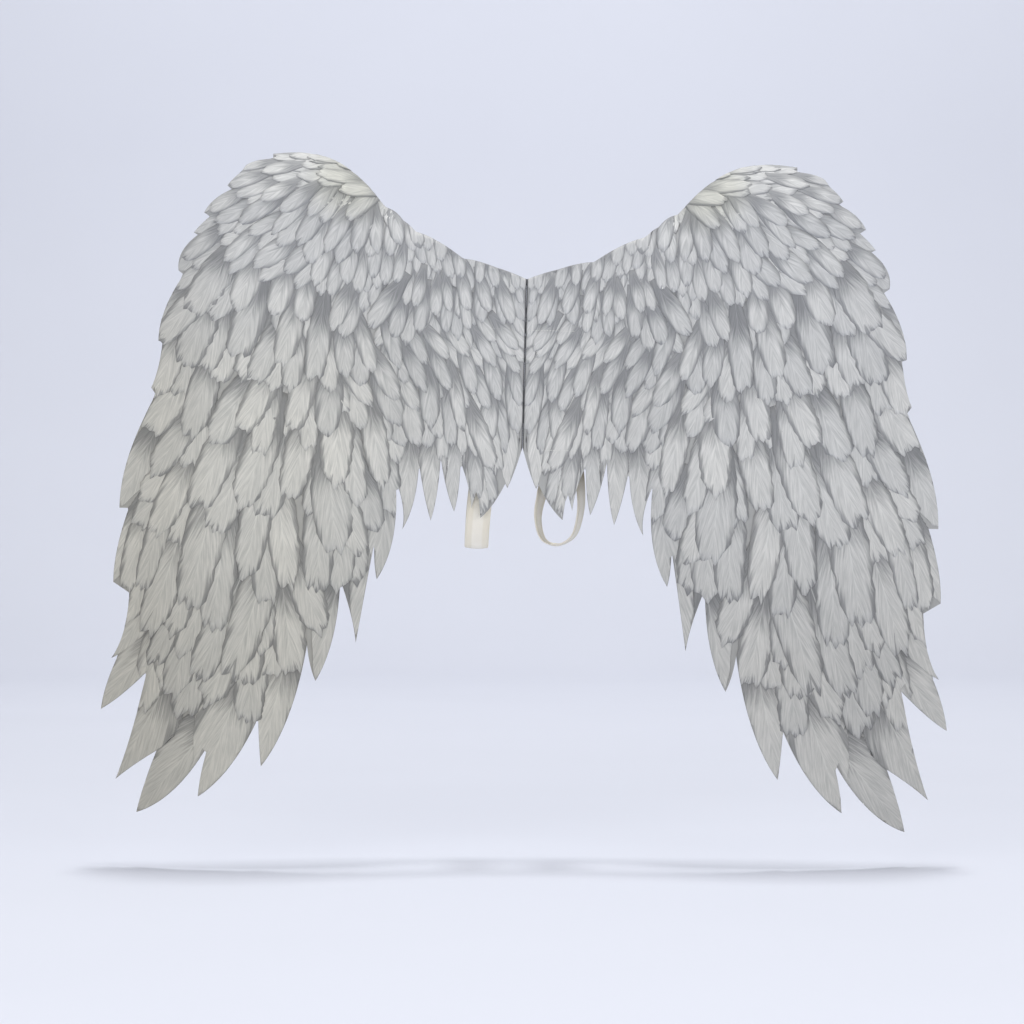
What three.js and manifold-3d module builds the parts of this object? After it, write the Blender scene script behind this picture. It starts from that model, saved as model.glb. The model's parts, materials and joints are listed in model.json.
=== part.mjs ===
// Costume angel wings: two formed felt panels, printed with feathers and seamed together at the middle of
// the back, with an elastic arm loop sewn behind each of them. Millimetres, +Z up.
// The printed faces look along -Y and the wearer stands on the +Y side. The origin is the middle of the
// seam, on its turned-back edges, where it lies against the wearer's back.

import * as THREE from "three";
import { mergeVertices } from "three/addons/utils/BufferGeometryUtils.js";
import Module from "manifold-3d";

const wasm = await Module();
wasm.setup();

// Driving dimensions
const HALF_SPAN = 525; // seam to the outermost feather tip, mean of the two wings
const WING_HEIGHT = 818; // lowest feather tip to the top of the shoulder
const PANEL_THICKNESS = 3; // printed felt on a thin backing
const FLANGE_DEPTH = 12; // how far each panel's seam edge is turned back
const FLANGE_ROUND = 4; // radius on the printed side of that turned edge
const ARCH_DEPTH = 62; // how far the wing stands forward of its flat inner part
const EDGE_SWEEP = 44; // how far its outer edge falls back from the arch
const TIP_SWEEP = 26; // how far its lowest tips fall back from the arch
const SHOULDER_ROLL = 28; // how far the top of the shoulder is rolled back
const SHOULDER_REACH = 58; // width of the rolled strip below the shoulder's edge
const CURL_REACH = 75; // length of a feather tip that its curl bends
const STRAP_WIDTH = 30; // flat woven elastic
const STRAP_THICKNESS = 1.5;
const STRAP_FROM_SEAM = 17; // seam to the inner edge of a strap's upper end
const STRAP_STEP = 13; // how much further out its lower end is sewn
const STRAP_SEWN = 25; // length of strap that lies flat at each sewn end
const STRAP_TOP = 57; // height of the upper sewn end's tip
const STRAP_FOOT = 90; // depth below the origin of the lower sewn end's tip
const STRAP_HANG = 224; // depth below the origin of a loop's lowest point
const CLEARANCE = 0.3; // between any two pieces that lie against each other

// Worked out from them
const SEAM_X = CLEARANCE / 2;
const PANEL_BACK = -FLANGE_DEPTH;
const STRAP_Y = PANEL_BACK + CLEARANCE + STRAP_THICKNESS / 2;
const STRAP_UPPER_X = STRAP_FROM_SEAM + STRAP_WIDTH / 2;
const STRAP_LOWER_X = STRAP_UPPER_X + STRAP_STEP;
const FLAT_REACH = STRAP_LOWER_X + STRAP_WIDTH / 2 + FLANGE_ROUND;

// How fine the faceted model is
const GRID_CELL = 24;
const OUTLINE_STEPS = 3;
const STRAP_STEPS = 56;

// The wings are cut from one pattern, but the right one is drawn out a little wider than the left.
const WINGS = [
  { name: "left_wing", side: -1, spread: 0.98 },
  { name: "right_wing", side: 1, spread: 1.02 },
];

function table(columns, ...rows) {
  return rows.map((row) => Object.fromEntries(columns.map((column, i) => [column, row[i]])));
}

// Feather ends round the cut edge, from the foot of the seam outwards and up to the shoulder. Each has its
// tip and the notch after it; X in shares of HALF_SPAN, Z in shares of WING_HEIGHT. The bows say how far the
// edge up to the tip and the edge after it swell, in shares of their length. The curl is how far the tip
// bends towards the wearer, in shares of ARCH_DEPTH.
const EDGE_FEATHERS = table(
  ["tipX", "tipZ", "notchX", "notchZ", "bowIn", "bowOut", "curl"],
  [0.034, -0.185, 0.039, -0.178, 0.02, 0.0, 0.0],
  [0.097, -0.231, 0.106, -0.187, 0.05, -0.01, -0.06],
  [0.119, -0.2165, 0.148, -0.147, 0.0, -0.04, 0.02],
  [0.1605, -0.2225, 0.196, -0.1415, 0.03, 0.03, 0.05],
  [0.216, -0.2365, 0.247, -0.151, 0.03, 0.02, -0.03],
  [0.283, -0.251, 0.302, -0.175, 0.06, -0.07, 0.05],
  [0.34, -0.327, 0.348, -0.271, 0.08, 0.03, -0.02],
  [0.3865, -0.423, 0.4255, -0.329, 0.0, -0.03, 0.08],
  [0.479, -0.4815, 0.501, -0.4275, 0.06, 0.04, 0.02],
  [0.605, -0.6125, 0.613, -0.5385, 0.06, 0.01, 0.1],
  [0.754, -0.6605, 0.731, -0.581, 0.07, 0.03, 0.0],
  [0.907, -0.69, 0.859, -0.5945, 0.09, 0.02, 0.1],
  [0.96, -0.641, 0.887, -0.4755, -0.02, -0.02, 0.04],
  [1.0, -0.5355, 0.958, -0.4515, 0.03, 0.04, 0.1],
  [0.976, -0.4575, 0.934, -0.358, 0.0, -0.07, 0.02],
  [0.975, -0.342, 0.94, -0.2295, 0.0, 0.04, 0.06],
  [0.963, -0.2297, 0.879, -0.0583, 0.0, 0.06, 0.04],
  [0.8895, -0.0478, 0.865, 0.0205, 0.0, -0.04, 0.0],
  [0.875, 0.0226, 0.817, 0.1216, 0.0, 0.08, 0.05],
  [0.83, 0.128, 0.785, 0.1817, 0.0, 0.15, 0.0],
  [0.795, 0.185, 0.757, 0.209, 0.0, 0.03, 0.0],
  [0.771, 0.215, 0.706, 0.25, 0.0, 0.09, 0.0],
  [0.7165, 0.2556, 0.685, 0.276, 0.0, 0.03, 0.0],
  [0.673, 0.287, 0.612, 0.2995, 0.0, 0.06, 0.0],
);

// The smooth top of the shoulder, from its outer end to its inner one.
const SHOULDER_LINE = table(
  ["x", "z"],
  [0.6125, 0.3073],
  [0.56, 0.31],
  [0.5135, 0.3076],
  [0.467, 0.2998],
  [0.4225, 0.2833],
  [0.39, 0.266],
  [0.343, 0.2337],
);

// Shallow scallops of the top edge, from the shoulder down to the seam: each one's end and its bow.
const TOP_SCALLOPS = table(
  ["endX", "endZ", "bow"],
  [0.3, 0.2144, 0.11],
  [0.2695, 0.198, 0.04],
  [0.154, 0.1605, 0.05],
  [0.0717, 0.148, 0.04],
  [0.0, 0.132, 0.02],
);
const SEAM_FOOT = -0.123; // height of the seam's foot, in shares of WING_HEIGHT
const BOW_CREST = 0.62; // where an edge swells most, on its way from notch to tip

// Long soft folds of the panel, from one end to the other: how wide, in shares of HALF_SPAN, and how far
// towards the wearer, in shares of ARCH_DEPTH.
const FOLDS = table(
  ["fromX", "fromZ", "toX", "toZ", "width", "depth"],
  [0.34, 0.2, 0.46, -0.12, 0.07, 0.1],
  [0.72, 0.14, 0.8, -0.3, 0.09, -0.1],
  [0.56, -0.1, 0.62, -0.42, 0.08, 0.12],
  [0.3, 0.02, 0.36, -0.2, 0.06, -0.08],
);

// Strap routes, from the upper sewn end to the lower one. out is measured from the seam in shares of
// STRAP_UPPER_X, behind from the panel in shares of STRAP_WIDTH, down is a share of the way from STRAP_TOP to
// the loop's lowest point, and turn is how far the strap's width is turned away from the panel, in degrees.
const STRAP_COLUMNS = ["out", "behind", "down", "turn"];
const STRAP_ROUTES = {
  left_strap: table(
    STRAP_COLUMNS,
    [1.06, 0.3, 0.2, 0],
    [1.28, 0.9, 0.42, 0],
    [1.52, 1.34, 0.66, 0],
    [1.66, 1.54, 0.84, 0],
    [1.69, 1.34, 0.955, 0],
    [1.69, 0.86, 1, 0],
    [1.68, 0.38, 0.955, 0],
    [1.64, 0.16, 0.87, 0],
    [1.56, 0.08, 0.76, 0],
  ),
  right_strap: table(
    STRAP_COLUMNS,
    [1.12, 0.2, 0.2, 8],
    [1.5, 0.42, 0.38, 30],
    [2.0, 0.5, 0.56, 55],
    [2.3, 0.44, 0.72, 68],
    [2.32, 0.4, 0.845, 75],
    [2.04, 0.38, 0.945, 82],
    [1.5, 0.38, 1, 88],
    [0.94, 0.36, 0.955, 86],
    [0.68, 0.32, 0.865, 82],
    [0.8, 0.34, 0.77, 62],
    [1.14, 0.26, 0.68, 24],
  ),
};

const FELT = new THREE.MeshStandardMaterial({ color: 0xb9bcbc, roughness: 0.85, metalness: 0 });
const ELASTIC = new THREE.MeshStandardMaterial({ color: 0xe4e0d4, roughness: 0.8, metalness: 0 });

// 0 at from and 1 at to, whichever of them is the higher, with a smooth change between.
function smoothStep(from, to, value) {
  const share = THREE.MathUtils.clamp((value - from) / (to - from), 0, 1);
  return share * share * (3 - 2 * share);
}

function distanceToLine(point, from, to) {
  const along = to.clone().sub(from);
  const share = THREE.MathUtils.clamp(point.clone().sub(from).dot(along) / along.lengthSq(), 0, 1);
  return from.clone().addScaledVector(along, share).distanceTo(point);
}

// A place on a wing given in shares, for a wing whose tips reach the given span.
function place(x, z, span) {
  return new THREE.Vector2(x * span, z * WING_HEIGHT);
}

// How far the printed face stands in front of its flat inner part.
function standOff(x, z, span, shoulder) {
  const point = new THREE.Vector2(x, z);
  const rise = smoothStep(FLAT_REACH, 0.52 * span, x);
  const edge = smoothStep(0.6 * span, 1.04 * span, x);
  const drop = smoothStep(0.05 * WING_HEIGHT, -0.69 * WING_HEIGHT, z);
  let forward = ARCH_DEPTH * rise - EDGE_SWEEP * edge - TIP_SWEEP * drop * rise;

  const toEdge = Math.min(...shoulder.slice(1).map((end, i) => distanceToLine(point, shoulder[i], end)));
  forward -= SHOULDER_ROLL * Math.max(0, 1 - toEdge / SHOULDER_REACH) ** 2;

  for (const fold of FOLDS) {
    const from = place(fold.fromX, fold.fromZ, span);
    const to = place(fold.toX, fold.toZ, span);
    const share = distanceToLine(point, from, to) / (fold.width * span);
    forward -= fold.depth * ARCH_DEPTH * Math.exp(-share * share) * rise;
  }
  for (const feather of EDGE_FEATHERS) {
    const share = place(feather.tipX, feather.tipZ, span).distanceTo(point) / CURL_REACH;
    forward -= feather.curl * ARCH_DEPTH * smoothStep(1, 0, share) * smoothStep(0, FLAT_REACH, x);
  }
  return forward;
}

function toSolid(geometry) {
  const bare = geometry.clone();
  bare.deleteAttribute("normal");
  bare.deleteAttribute("uv");
  const merged = mergeVertices(bare, 1e-4);
  return new wasm.Manifold(
    new wasm.Mesh({
      numProp: 3,
      vertProperties: merged.getAttribute("position").array,
      triVerts: merged.getIndex().array,
    }),
  );
}

function toGeometry(solid) {
  const mesh = solid.getMesh();
  const geometry = new THREE.BufferGeometry();
  geometry.setAttribute("position", new THREE.BufferAttribute(mesh.vertProperties, 3));
  geometry.setIndex(new THREE.BufferAttribute(mesh.triVerts, 1));
  geometry.computeVertexNormals();
  return geometry;
}

// One edge of the outline: a curve to a point that swells outwards by a share of its own length, most of all
// at the share of its way given by crest.
function bowTo(shape, from, to, bow, crest, outward) {
  const along = to.clone().sub(from);
  const control = from.clone().addScaledVector(along, crest);
  control.addScaledVector(new THREE.Vector2(along.y, -along.x), 2 * bow * outward);
  shape.quadraticCurveTo(control.x, control.y, to.x, to.y);
  return to;
}

// The cut outline of a wing, seen from the front.
function wingOutline(side, span) {
  const at = (x, z) => new THREE.Vector2(side * Math.max(SEAM_X, x * span), z * WING_HEIGHT);
  const shape = new THREE.Shape();
  let pen = at(0, SEAM_FOOT);
  shape.moveTo(pen.x, pen.y);
  for (const feather of EDGE_FEATHERS) {
    pen = bowTo(shape, pen, at(feather.tipX, feather.tipZ), feather.bowIn, BOW_CREST, side);
    pen = bowTo(shape, pen, at(feather.notchX, feather.notchZ), feather.bowOut, 1 - BOW_CREST, side);
  }
  shape.lineTo(at(SHOULDER_LINE[0].x, SHOULDER_LINE[0].z).x, SHOULDER_LINE[0].z * WING_HEIGHT);
  shape.splineThru(SHOULDER_LINE.slice(1).map(({ x, z }) => at(x, z)));
  pen = at(SHOULDER_LINE.at(-1).x, SHOULDER_LINE.at(-1).z);
  for (const scallop of TOP_SCALLOPS) {
    pen = bowTo(shape, pen, at(scallop.endX, scallop.endZ), scallop.bow, 1 - BOW_CREST, side);
  }
  shape.closePath();
  return shape;
}

// A flat sheet, curved to the wing's form, reaching past its outline all round.
function curvedSheet(side, span) {
  const inner = SEAM_X + FLANGE_ROUND;
  const width = 1.04 * span - inner;
  const height = 1.08 * WING_HEIGHT;
  const middle = -0.19 * WING_HEIGHT;
  const columns = Math.round(width / GRID_CELL);
  const rows = Math.round(height / GRID_CELL);
  const geometry = new THREE.BoxGeometry(width, 1, height, columns, 1, rows);
  geometry.translate(side * (inner + width / 2), 0, middle);
  const shoulder = SHOULDER_LINE.map(({ x, z }) => place(x, z, span));
  const forwardAt = (x, z) => standOff(Math.abs(x), z, span, shoulder);

  const position = geometry.getAttribute("position");
  for (let i = 0; i < position.count; i += 1) {
    const x = position.getX(i);
    const z = position.getZ(i);
    const forward = forwardAt(x, z);
    const slopeX = forwardAt(x + 1, z) - forward;
    const slopeZ = forwardAt(x, z + 1) - forward;
    const depth = PANEL_THICKNESS * Math.min(1.5, Math.hypot(1, slopeX, slopeZ));
    const back = PANEL_BACK - forward;
    position.setY(i, position.getY(i) > 0 ? back : back - depth);
  }
  return geometry;
}

// The seam edge, turned back round a small radius.
function seamFlange(side) {
  const inside = SEAM_X + PANEL_THICKNESS;
  const front = PANEL_BACK - PANEL_THICKNESS;
  const overlap = SEAM_X + FLANGE_ROUND + PANEL_THICKNESS;
  const innerRound = FLANGE_ROUND - PANEL_THICKNESS;
  const profile = new THREE.Shape();
  profile.moveTo(side * SEAM_X, 0);
  profile.lineTo(side * SEAM_X, front + FLANGE_ROUND);
  profile.quadraticCurveTo(side * SEAM_X, front, side * (SEAM_X + FLANGE_ROUND), front);
  profile.lineTo(side * overlap, front);
  profile.lineTo(side * overlap, PANEL_BACK);
  profile.lineTo(side * (inside + innerRound), PANEL_BACK);
  profile.lineTo(side * inside, PANEL_BACK + innerRound);
  profile.lineTo(side * inside, 0);
  profile.closePath();
  const geometry = new THREE.ExtrudeGeometry(profile, {
    depth: 0.4 * WING_HEIGHT,
    bevelEnabled: false,
    curveSegments: OUTLINE_STEPS,
  });
  geometry.translate(0, 0, -0.2 * WING_HEIGHT);
  return geometry;
}

function makeWing({ name, side, spread }) {
  const span = HALF_SPAN * spread;
  const reach = 2 * (ARCH_DEPTH + EDGE_SWEEP + FLANGE_DEPTH);
  const cutter = new THREE.ExtrudeGeometry(wingOutline(side, span), {
    depth: 2 * reach,
    bevelEnabled: false,
    curveSegments: OUTLINE_STEPS,
  });
  cutter.rotateX(Math.PI / 2);
  cutter.translate(0, reach, 0);
  const solid = toSolid(curvedSheet(side, span)).add(toSolid(seamFlange(side))).intersect(toSolid(cutter));
  const mesh = new THREE.Mesh(toGeometry(solid), FELT);
  mesh.name = name;
  return mesh;
}

// The points of a strap, with the way its width is turned at each. Both sewn ends lie flat on the panel.
function strapRoute(side, rows) {
  const point = (x, y, z, turn) => ({ at: new THREE.Vector3(side * x, y, z), turn });
  const fall = STRAP_TOP + STRAP_HANG;
  const half = STRAP_WIDTH / 2;
  const sewnEnd = (x, z) => point(x, STRAP_Y, z, 0);
  const route = [sewnEnd(STRAP_UPPER_X, STRAP_TOP), sewnEnd(STRAP_UPPER_X, STRAP_TOP - STRAP_SEWN)];
  for (const { out, behind, down, turn } of rows) {
    const radians = THREE.MathUtils.degToRad(turn);
    const y = STRAP_Y + behind * STRAP_WIDTH + half * Math.sin(radians);
    route.push(point(out * STRAP_UPPER_X, y, STRAP_TOP - down * fall, radians));
  }
  route.push(sewnEnd(STRAP_LOWER_X, -STRAP_FOOT - STRAP_SEWN), sewnEnd(STRAP_LOWER_X, -STRAP_FOOT));
  return route;
}

// A flat ribbon bent and twisted along its route.
function makeStrap(name, side) {
  const route = strapRoute(side, STRAP_ROUTES[name]);
  const curve = new THREE.CatmullRomCurve3(route.map(({ at }) => at), false, "centripetal");
  const geometry = new THREE.BoxGeometry(STRAP_WIDTH, STRAP_THICKNESS, 1, 1, 1, STRAP_STEPS);
  const position = geometry.getAttribute("position");
  const vertex = new THREE.Vector3();
  for (let i = 0; i < position.count; i += 1) {
    vertex.fromBufferAttribute(position, i);
    const share = vertex.z + 0.5;
    const along = share * (route.length - 1);
    const before = Math.min(Math.floor(along), route.length - 2);
    const turn = THREE.MathUtils.lerp(route[before].turn, route[before + 1].turn, along - before);
    const tangent = curve.getTangent(share);
    const across = new THREE.Vector3(Math.cos(turn), side * Math.sin(turn), 0);
    across.projectOnPlane(tangent).normalize();
    const through = tangent.clone().cross(across);
    const middle = curve.getPoint(share);
    middle.y = Math.max(middle.y, STRAP_Y + (STRAP_WIDTH / 2) * Math.abs(across.y));
    middle.addScaledVector(across, vertex.x).addScaledVector(through, vertex.y);
    position.setXYZ(i, middle.x, middle.y, middle.z);
  }
  geometry.computeVertexNormals();
  const mesh = new THREE.Mesh(geometry, ELASTIC);
  mesh.name = name;
  return mesh;
}

const group = new THREE.Group();
group.add(...WINGS.map(makeWing));
group.add(makeStrap("left_strap", -1), makeStrap("right_strap", 1));

export default group;
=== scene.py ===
import json
import math
import random

import bpy
import numpy as np
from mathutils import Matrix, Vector
from mathutils.geometry import delaunay_2d_cdt

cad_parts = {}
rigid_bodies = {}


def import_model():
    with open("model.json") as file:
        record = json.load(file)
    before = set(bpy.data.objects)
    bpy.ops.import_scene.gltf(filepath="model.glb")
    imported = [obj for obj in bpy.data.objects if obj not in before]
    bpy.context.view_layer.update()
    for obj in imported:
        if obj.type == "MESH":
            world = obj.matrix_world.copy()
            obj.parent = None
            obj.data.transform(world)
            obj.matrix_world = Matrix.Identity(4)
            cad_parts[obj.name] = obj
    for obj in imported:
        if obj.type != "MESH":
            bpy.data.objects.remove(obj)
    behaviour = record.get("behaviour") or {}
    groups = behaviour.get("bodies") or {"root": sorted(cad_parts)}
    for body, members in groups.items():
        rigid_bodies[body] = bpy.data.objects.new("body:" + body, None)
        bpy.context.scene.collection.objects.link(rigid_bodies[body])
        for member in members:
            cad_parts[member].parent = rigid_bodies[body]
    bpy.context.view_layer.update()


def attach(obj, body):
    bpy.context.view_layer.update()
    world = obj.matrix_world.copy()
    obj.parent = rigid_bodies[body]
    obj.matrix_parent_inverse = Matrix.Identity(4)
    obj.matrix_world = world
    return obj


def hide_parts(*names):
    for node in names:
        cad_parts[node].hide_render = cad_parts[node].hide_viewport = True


# The frame
# Two formed felt wings and two elastic arm loops, in metres. The printed faces look along -Y, the wearer
# stands on the +Y side, and the origin is the middle of the seam's turned-back edges.
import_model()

# The two felt panels
# Each wing is die-cut from 3 mm non-woven polyester felt on a thin backing and pressed over a form, so that
# it arches forward and its tips fall back. Its seam edge is turned back 12 mm round a small radius.
MM = 0.001
HALF_SPAN = 525
WING_HEIGHT = 818
PANEL_THICKNESS = 3
FLANGE_DEPTH = 12
FLANGE_ROUND = 4
ARCH_DEPTH = 62
EDGE_SWEEP = 44
TIP_SWEEP = 26
SHOULDER_ROLL = 28
SHOULDER_REACH = 58
CURL_REACH = 75
FLAT_REACH = 64  # the part beside the seam that lies flat, with the arm loops behind it
RISE_TO = 0.52  # where the arch stands highest, as a share of the half span
SWEEP_SPAN = (0.6, 1.04)  # where the outer edge falls back, as shares of the half span
DROP_SPAN = (0.05, -0.69)  # where the long tips fall back, as shares of the height
SEAM_X = 0.15  # half the gap between the two panels
PANEL_BACK = -FLANGE_DEPTH
CORNER_X = SEAM_X + FLANGE_ROUND
OUTLINE_STEP = 5
CLOTH_CELL = 6.5  # spacing of the points that carry the panel's form
BUCKLE = 0.7  # how far the felt's slight waviness stands up
PANEL_CREASE = 48  # a face turned by more degrees than this from the next one meets it in a sharp edge
WINGS = (
    {"name": "left_wing", "side": -1, "spread": 0.98},
    {"name": "right_wing", "side": 1, "spread": 1.02},
)

# Feather ends round the cut edge, from the foot of the seam outwards and up to the shoulder: tip out and up,
# the notch after it out and up, how far the edge swells up to the tip and after it, and the tip's curl. All
# places out are shares of the half span, and all places up are shares of the height.
EDGE_FEATHERS = (
    (0.034, -0.185, 0.039, -0.178, 0.02, 0.0, 0.0),
    (0.097, -0.231, 0.106, -0.187, 0.05, -0.01, -0.06),
    (0.119, -0.2165, 0.148, -0.147, 0.0, -0.04, 0.02),
    (0.1605, -0.2225, 0.196, -0.1415, 0.03, 0.03, 0.05),
    (0.216, -0.2365, 0.247, -0.151, 0.03, 0.02, -0.03),
    (0.283, -0.251, 0.302, -0.175, 0.06, -0.07, 0.05),
    (0.34, -0.327, 0.348, -0.271, 0.08, 0.03, -0.02),
    (0.3865, -0.423, 0.4255, -0.329, 0.0, -0.03, 0.08),
    (0.479, -0.4815, 0.501, -0.4275, 0.06, 0.04, 0.02),
    (0.605, -0.6125, 0.613, -0.5385, 0.06, 0.01, 0.1),
    (0.754, -0.6605, 0.731, -0.581, 0.07, 0.03, 0.0),
    (0.907, -0.69, 0.859, -0.5945, 0.09, 0.02, 0.1),
    (0.96, -0.641, 0.887, -0.4755, -0.02, -0.02, 0.04),
    (1.0, -0.5355, 0.958, -0.4515, 0.03, 0.04, 0.1),
    (0.976, -0.4575, 0.934, -0.358, 0.0, -0.07, 0.02),
    (0.975, -0.342, 0.94, -0.2295, 0.0, 0.04, 0.06),
    (0.963, -0.2297, 0.879, -0.0583, 0.0, 0.06, 0.04),
    (0.8895, -0.0478, 0.865, 0.0205, 0.0, -0.04, 0.0),
    (0.875, 0.0226, 0.817, 0.1216, 0.0, 0.08, 0.05),
    (0.83, 0.128, 0.785, 0.1817, 0.0, 0.15, 0.0),
    (0.795, 0.185, 0.757, 0.209, 0.0, 0.03, 0.0),
    (0.771, 0.215, 0.706, 0.25, 0.0, 0.09, 0.0),
    (0.7165, 0.2556, 0.685, 0.276, 0.0, 0.03, 0.0),
    (0.673, 0.287, 0.612, 0.2995, 0.0, 0.06, 0.0),
)
SHOULDER_LINE = (
    (0.6125, 0.3073),
    (0.56, 0.31),
    (0.5135, 0.3076),
    (0.467, 0.2998),
    (0.4225, 0.2833),
    (0.39, 0.266),
    (0.343, 0.2337),
)
TOP_SCALLOPS = (
    (0.3, 0.2144, 0.11),
    (0.2695, 0.198, 0.04),
    (0.154, 0.1605, 0.05),
    (0.0717, 0.148, 0.04),
    (0.0, 0.132, 0.02),
)
SEAM_FOOT = -0.123
BOW_CREST = 0.62

# Long soft folds in the same shares: from and to, width, and depth towards the wearer over the arch's own.
FOLDS = (
    (0.34, 0.2, 0.46, -0.12, 0.07, 0.1),
    (0.72, 0.14, 0.8, -0.3, 0.09, -0.1),
    (0.56, -0.1, 0.62, -0.42, 0.08, 0.12),
    (0.3, 0.02, 0.36, -0.2, 0.06, -0.08),
)


def smooth_step(start, end, value):
    share = np.clip((value - start) / (end - start), 0.0, 1.0)
    return share * share * (3.0 - 2.0 * share)


def place(x, z, span):
    return np.array([max(SEAM_X, x * span), z * WING_HEIGHT])


def distance_to_line(x, z, start, end):
    along = end - start
    share = ((x - start[0]) * along[0] + (z - start[1]) * along[1]) / (along @ along)
    share = np.clip(share, 0.0, 1.0)
    return np.hypot(x - start[0] - share * along[0], z - start[1] - share * along[1])


def stand_off(x, z, span):
    """How far the printed face stands in front of its flat inner part."""
    rise = smooth_step(FLAT_REACH, RISE_TO * span, x)
    edge = smooth_step(SWEEP_SPAN[0] * span, SWEEP_SPAN[1] * span, x)
    drop = smooth_step(DROP_SPAN[0] * WING_HEIGHT, DROP_SPAN[1] * WING_HEIGHT, z)
    forward = ARCH_DEPTH * rise - EDGE_SWEEP * edge - TIP_SWEEP * drop * rise
    shoulder = [place(*point, span) for point in SHOULDER_LINE]
    to_edge = np.min(
        [distance_to_line(x, z, start, end) for start, end in zip(shoulder, shoulder[1:])], axis=0
    )
    forward = forward - SHOULDER_ROLL * np.maximum(0, 1 - to_edge / SHOULDER_REACH) ** 2
    for from_x, from_z, to_x, to_z, width, depth in FOLDS:
        away = distance_to_line(x, z, place(from_x, from_z, span), place(to_x, to_z, span))
        forward = forward - depth * ARCH_DEPTH * np.exp(-((away / (width * span)) ** 2)) * rise
    for tip_x, tip_z, *_, curl in EDGE_FEATHERS:
        tip = place(tip_x, tip_z, span)
        near = smooth_step(1, 0, np.hypot(x - tip[0], z - tip[1]) / CURL_REACH)
        forward = forward - curl * ARCH_DEPTH * near * smooth_step(0, FLAT_REACH, x)
    waves = np.sin(x / 21 + 1.4 * np.sin(z / 57)) * np.sin(z / 39 + 1.1 * np.sin(x / 66))
    return forward + BUCKLE * waves * rise


def bowed_edge(start, end, bow, crest):
    """A curve that swells outwards by a share of its own length, without its first point."""
    along = end - start
    control = start + crest * along + 2 * bow * np.array([along[1], -along[0]])
    steps = max(3, round(np.hypot(*along) / OUTLINE_STEP))
    share = np.linspace(0, 1, steps + 1)[1:, None]
    return (1 - share) ** 2 * start + 2 * share * (1 - share) * control + share**2 * end


def between(t, start, leave, end, arrive):
    """The point at t of a smooth stretch, which leaves its start and arrives at its end as given."""
    return (
        (2 * t**3 - 3 * t**2 + 1) * start
        + (t**3 - 2 * t**2 + t) * leave
        + (3 * t**2 - 2 * t**3) * end
        + (t**3 - t**2) * arrive
    )


def smooth_line(points):
    """The smooth curve through the points, each stretch of it in eight steps, without its first point."""
    padded = [points[0], *points, points[-1]]
    curve = []
    for before, start, end, after in zip(padded, padded[1:], padded[2:], padded[3:]):
        for t in np.linspace(0, 1, 9)[1:]:
            curve.append(between(t, start, (end - before) / 2, end, (after - start) / 2))
    return np.array(curve)


def wing_outline(span):
    """The cut outline seen from the front, from the foot of the seam outwards and round to its top."""
    pen = place(0, SEAM_FOOT, span)
    parts = [pen[None]]
    for tip_x, tip_z, notch_x, notch_z, bow_in, bow_out, _ in EDGE_FEATHERS:
        parts.append(bowed_edge(pen, place(tip_x, tip_z, span), bow_in, BOW_CREST))
        pen = place(notch_x, notch_z, span)
        parts.append(bowed_edge(parts[-1][-1], pen, bow_out, 1 - BOW_CREST))
    shoulder = [place(*point, span) for point in SHOULDER_LINE]
    parts.append(shoulder[0][None])
    parts.append(smooth_line(shoulder))
    pen = shoulder[-1]
    for end_x, end_z, bow in TOP_SCALLOPS:
        end = place(end_x, end_z, span)
        parts.append(bowed_edge(pen, end, bow, 1 - BOW_CREST))
        pen = end
    return np.concatenate(parts)


def inside(points, outline, margin=0.6 * CLOTH_CELL):
    """Which of the points lie in the outline, further than the margin from its edge."""
    x, z = points[:, 0][:, None], points[:, 1][:, None]
    start, end = outline, np.roll(outline, -1, axis=0)
    crosses = (start[:, 1] > z) != (end[:, 1] > z)
    rise = np.where(end[:, 1] == start[:, 1], 1e-9, end[:, 1] - start[:, 1])
    at = start[:, 0] + (z - start[:, 1]) / rise * (end[:, 0] - start[:, 0])
    within = (crosses & (x < at)).sum(axis=1) % 2 == 1
    clear = np.hypot(x - start[:, 0], z - start[:, 1]).min(axis=1) > margin
    return within & clear


def laid_flat(outline):
    """The outline with its turned-back seam edge rolled out flat, measured from where the round starts."""
    flat = outline.copy()
    short = np.clip((CORNER_X - outline[:, 0]) / FLANGE_ROUND, 0, 1)
    rounded = outline[:, 0] < CORNER_X
    flat[:, 0] = np.where(rounded, -FLANGE_ROUND * np.arcsin(short), outline[:, 0] - CORNER_X)
    reach = -(FLANGE_ROUND * math.pi / 2 + FLANGE_DEPTH + PANEL_THICKNESS - FLANGE_ROUND)
    return np.concatenate([flat, [[reach, flat[-1, 1]], [reach, flat[0, 1]]]])


def formed(flat, span):
    """The printed face and the back of the formed sheet over points of the flat cut, as two arrays."""
    w, z = flat[:, 0], flat[:, 1]
    turn = np.clip(-w / FLANGE_ROUND, 0, math.pi / 2)
    past = np.maximum(0, -w - FLANGE_ROUND * math.pi / 2)
    x = CORNER_X + np.maximum(0, w)
    forward = stand_off(x, z, span)
    slope_x = stand_off(x + 1, z, span) - forward
    slope_z = stand_off(x, z + 1, span) - forward
    depth = PANEL_THICKNESS * np.minimum(1.5, np.sqrt(1 + slope_x**2 + slope_z**2))
    back_y = PANEL_BACK - forward
    inner = FLANGE_ROUND - PANEL_THICKNESS
    back_y = back_y + inner * (1 - np.cos(turn)) + past
    front_y = PANEL_BACK - forward - depth + FLANGE_ROUND * (1 - np.cos(turn)) + past
    front = np.stack([x - FLANGE_ROUND * np.sin(turn), front_y, z], axis=1)
    back = np.stack([x - inner * np.sin(turn), back_y, z], axis=1)
    return front, back


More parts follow.
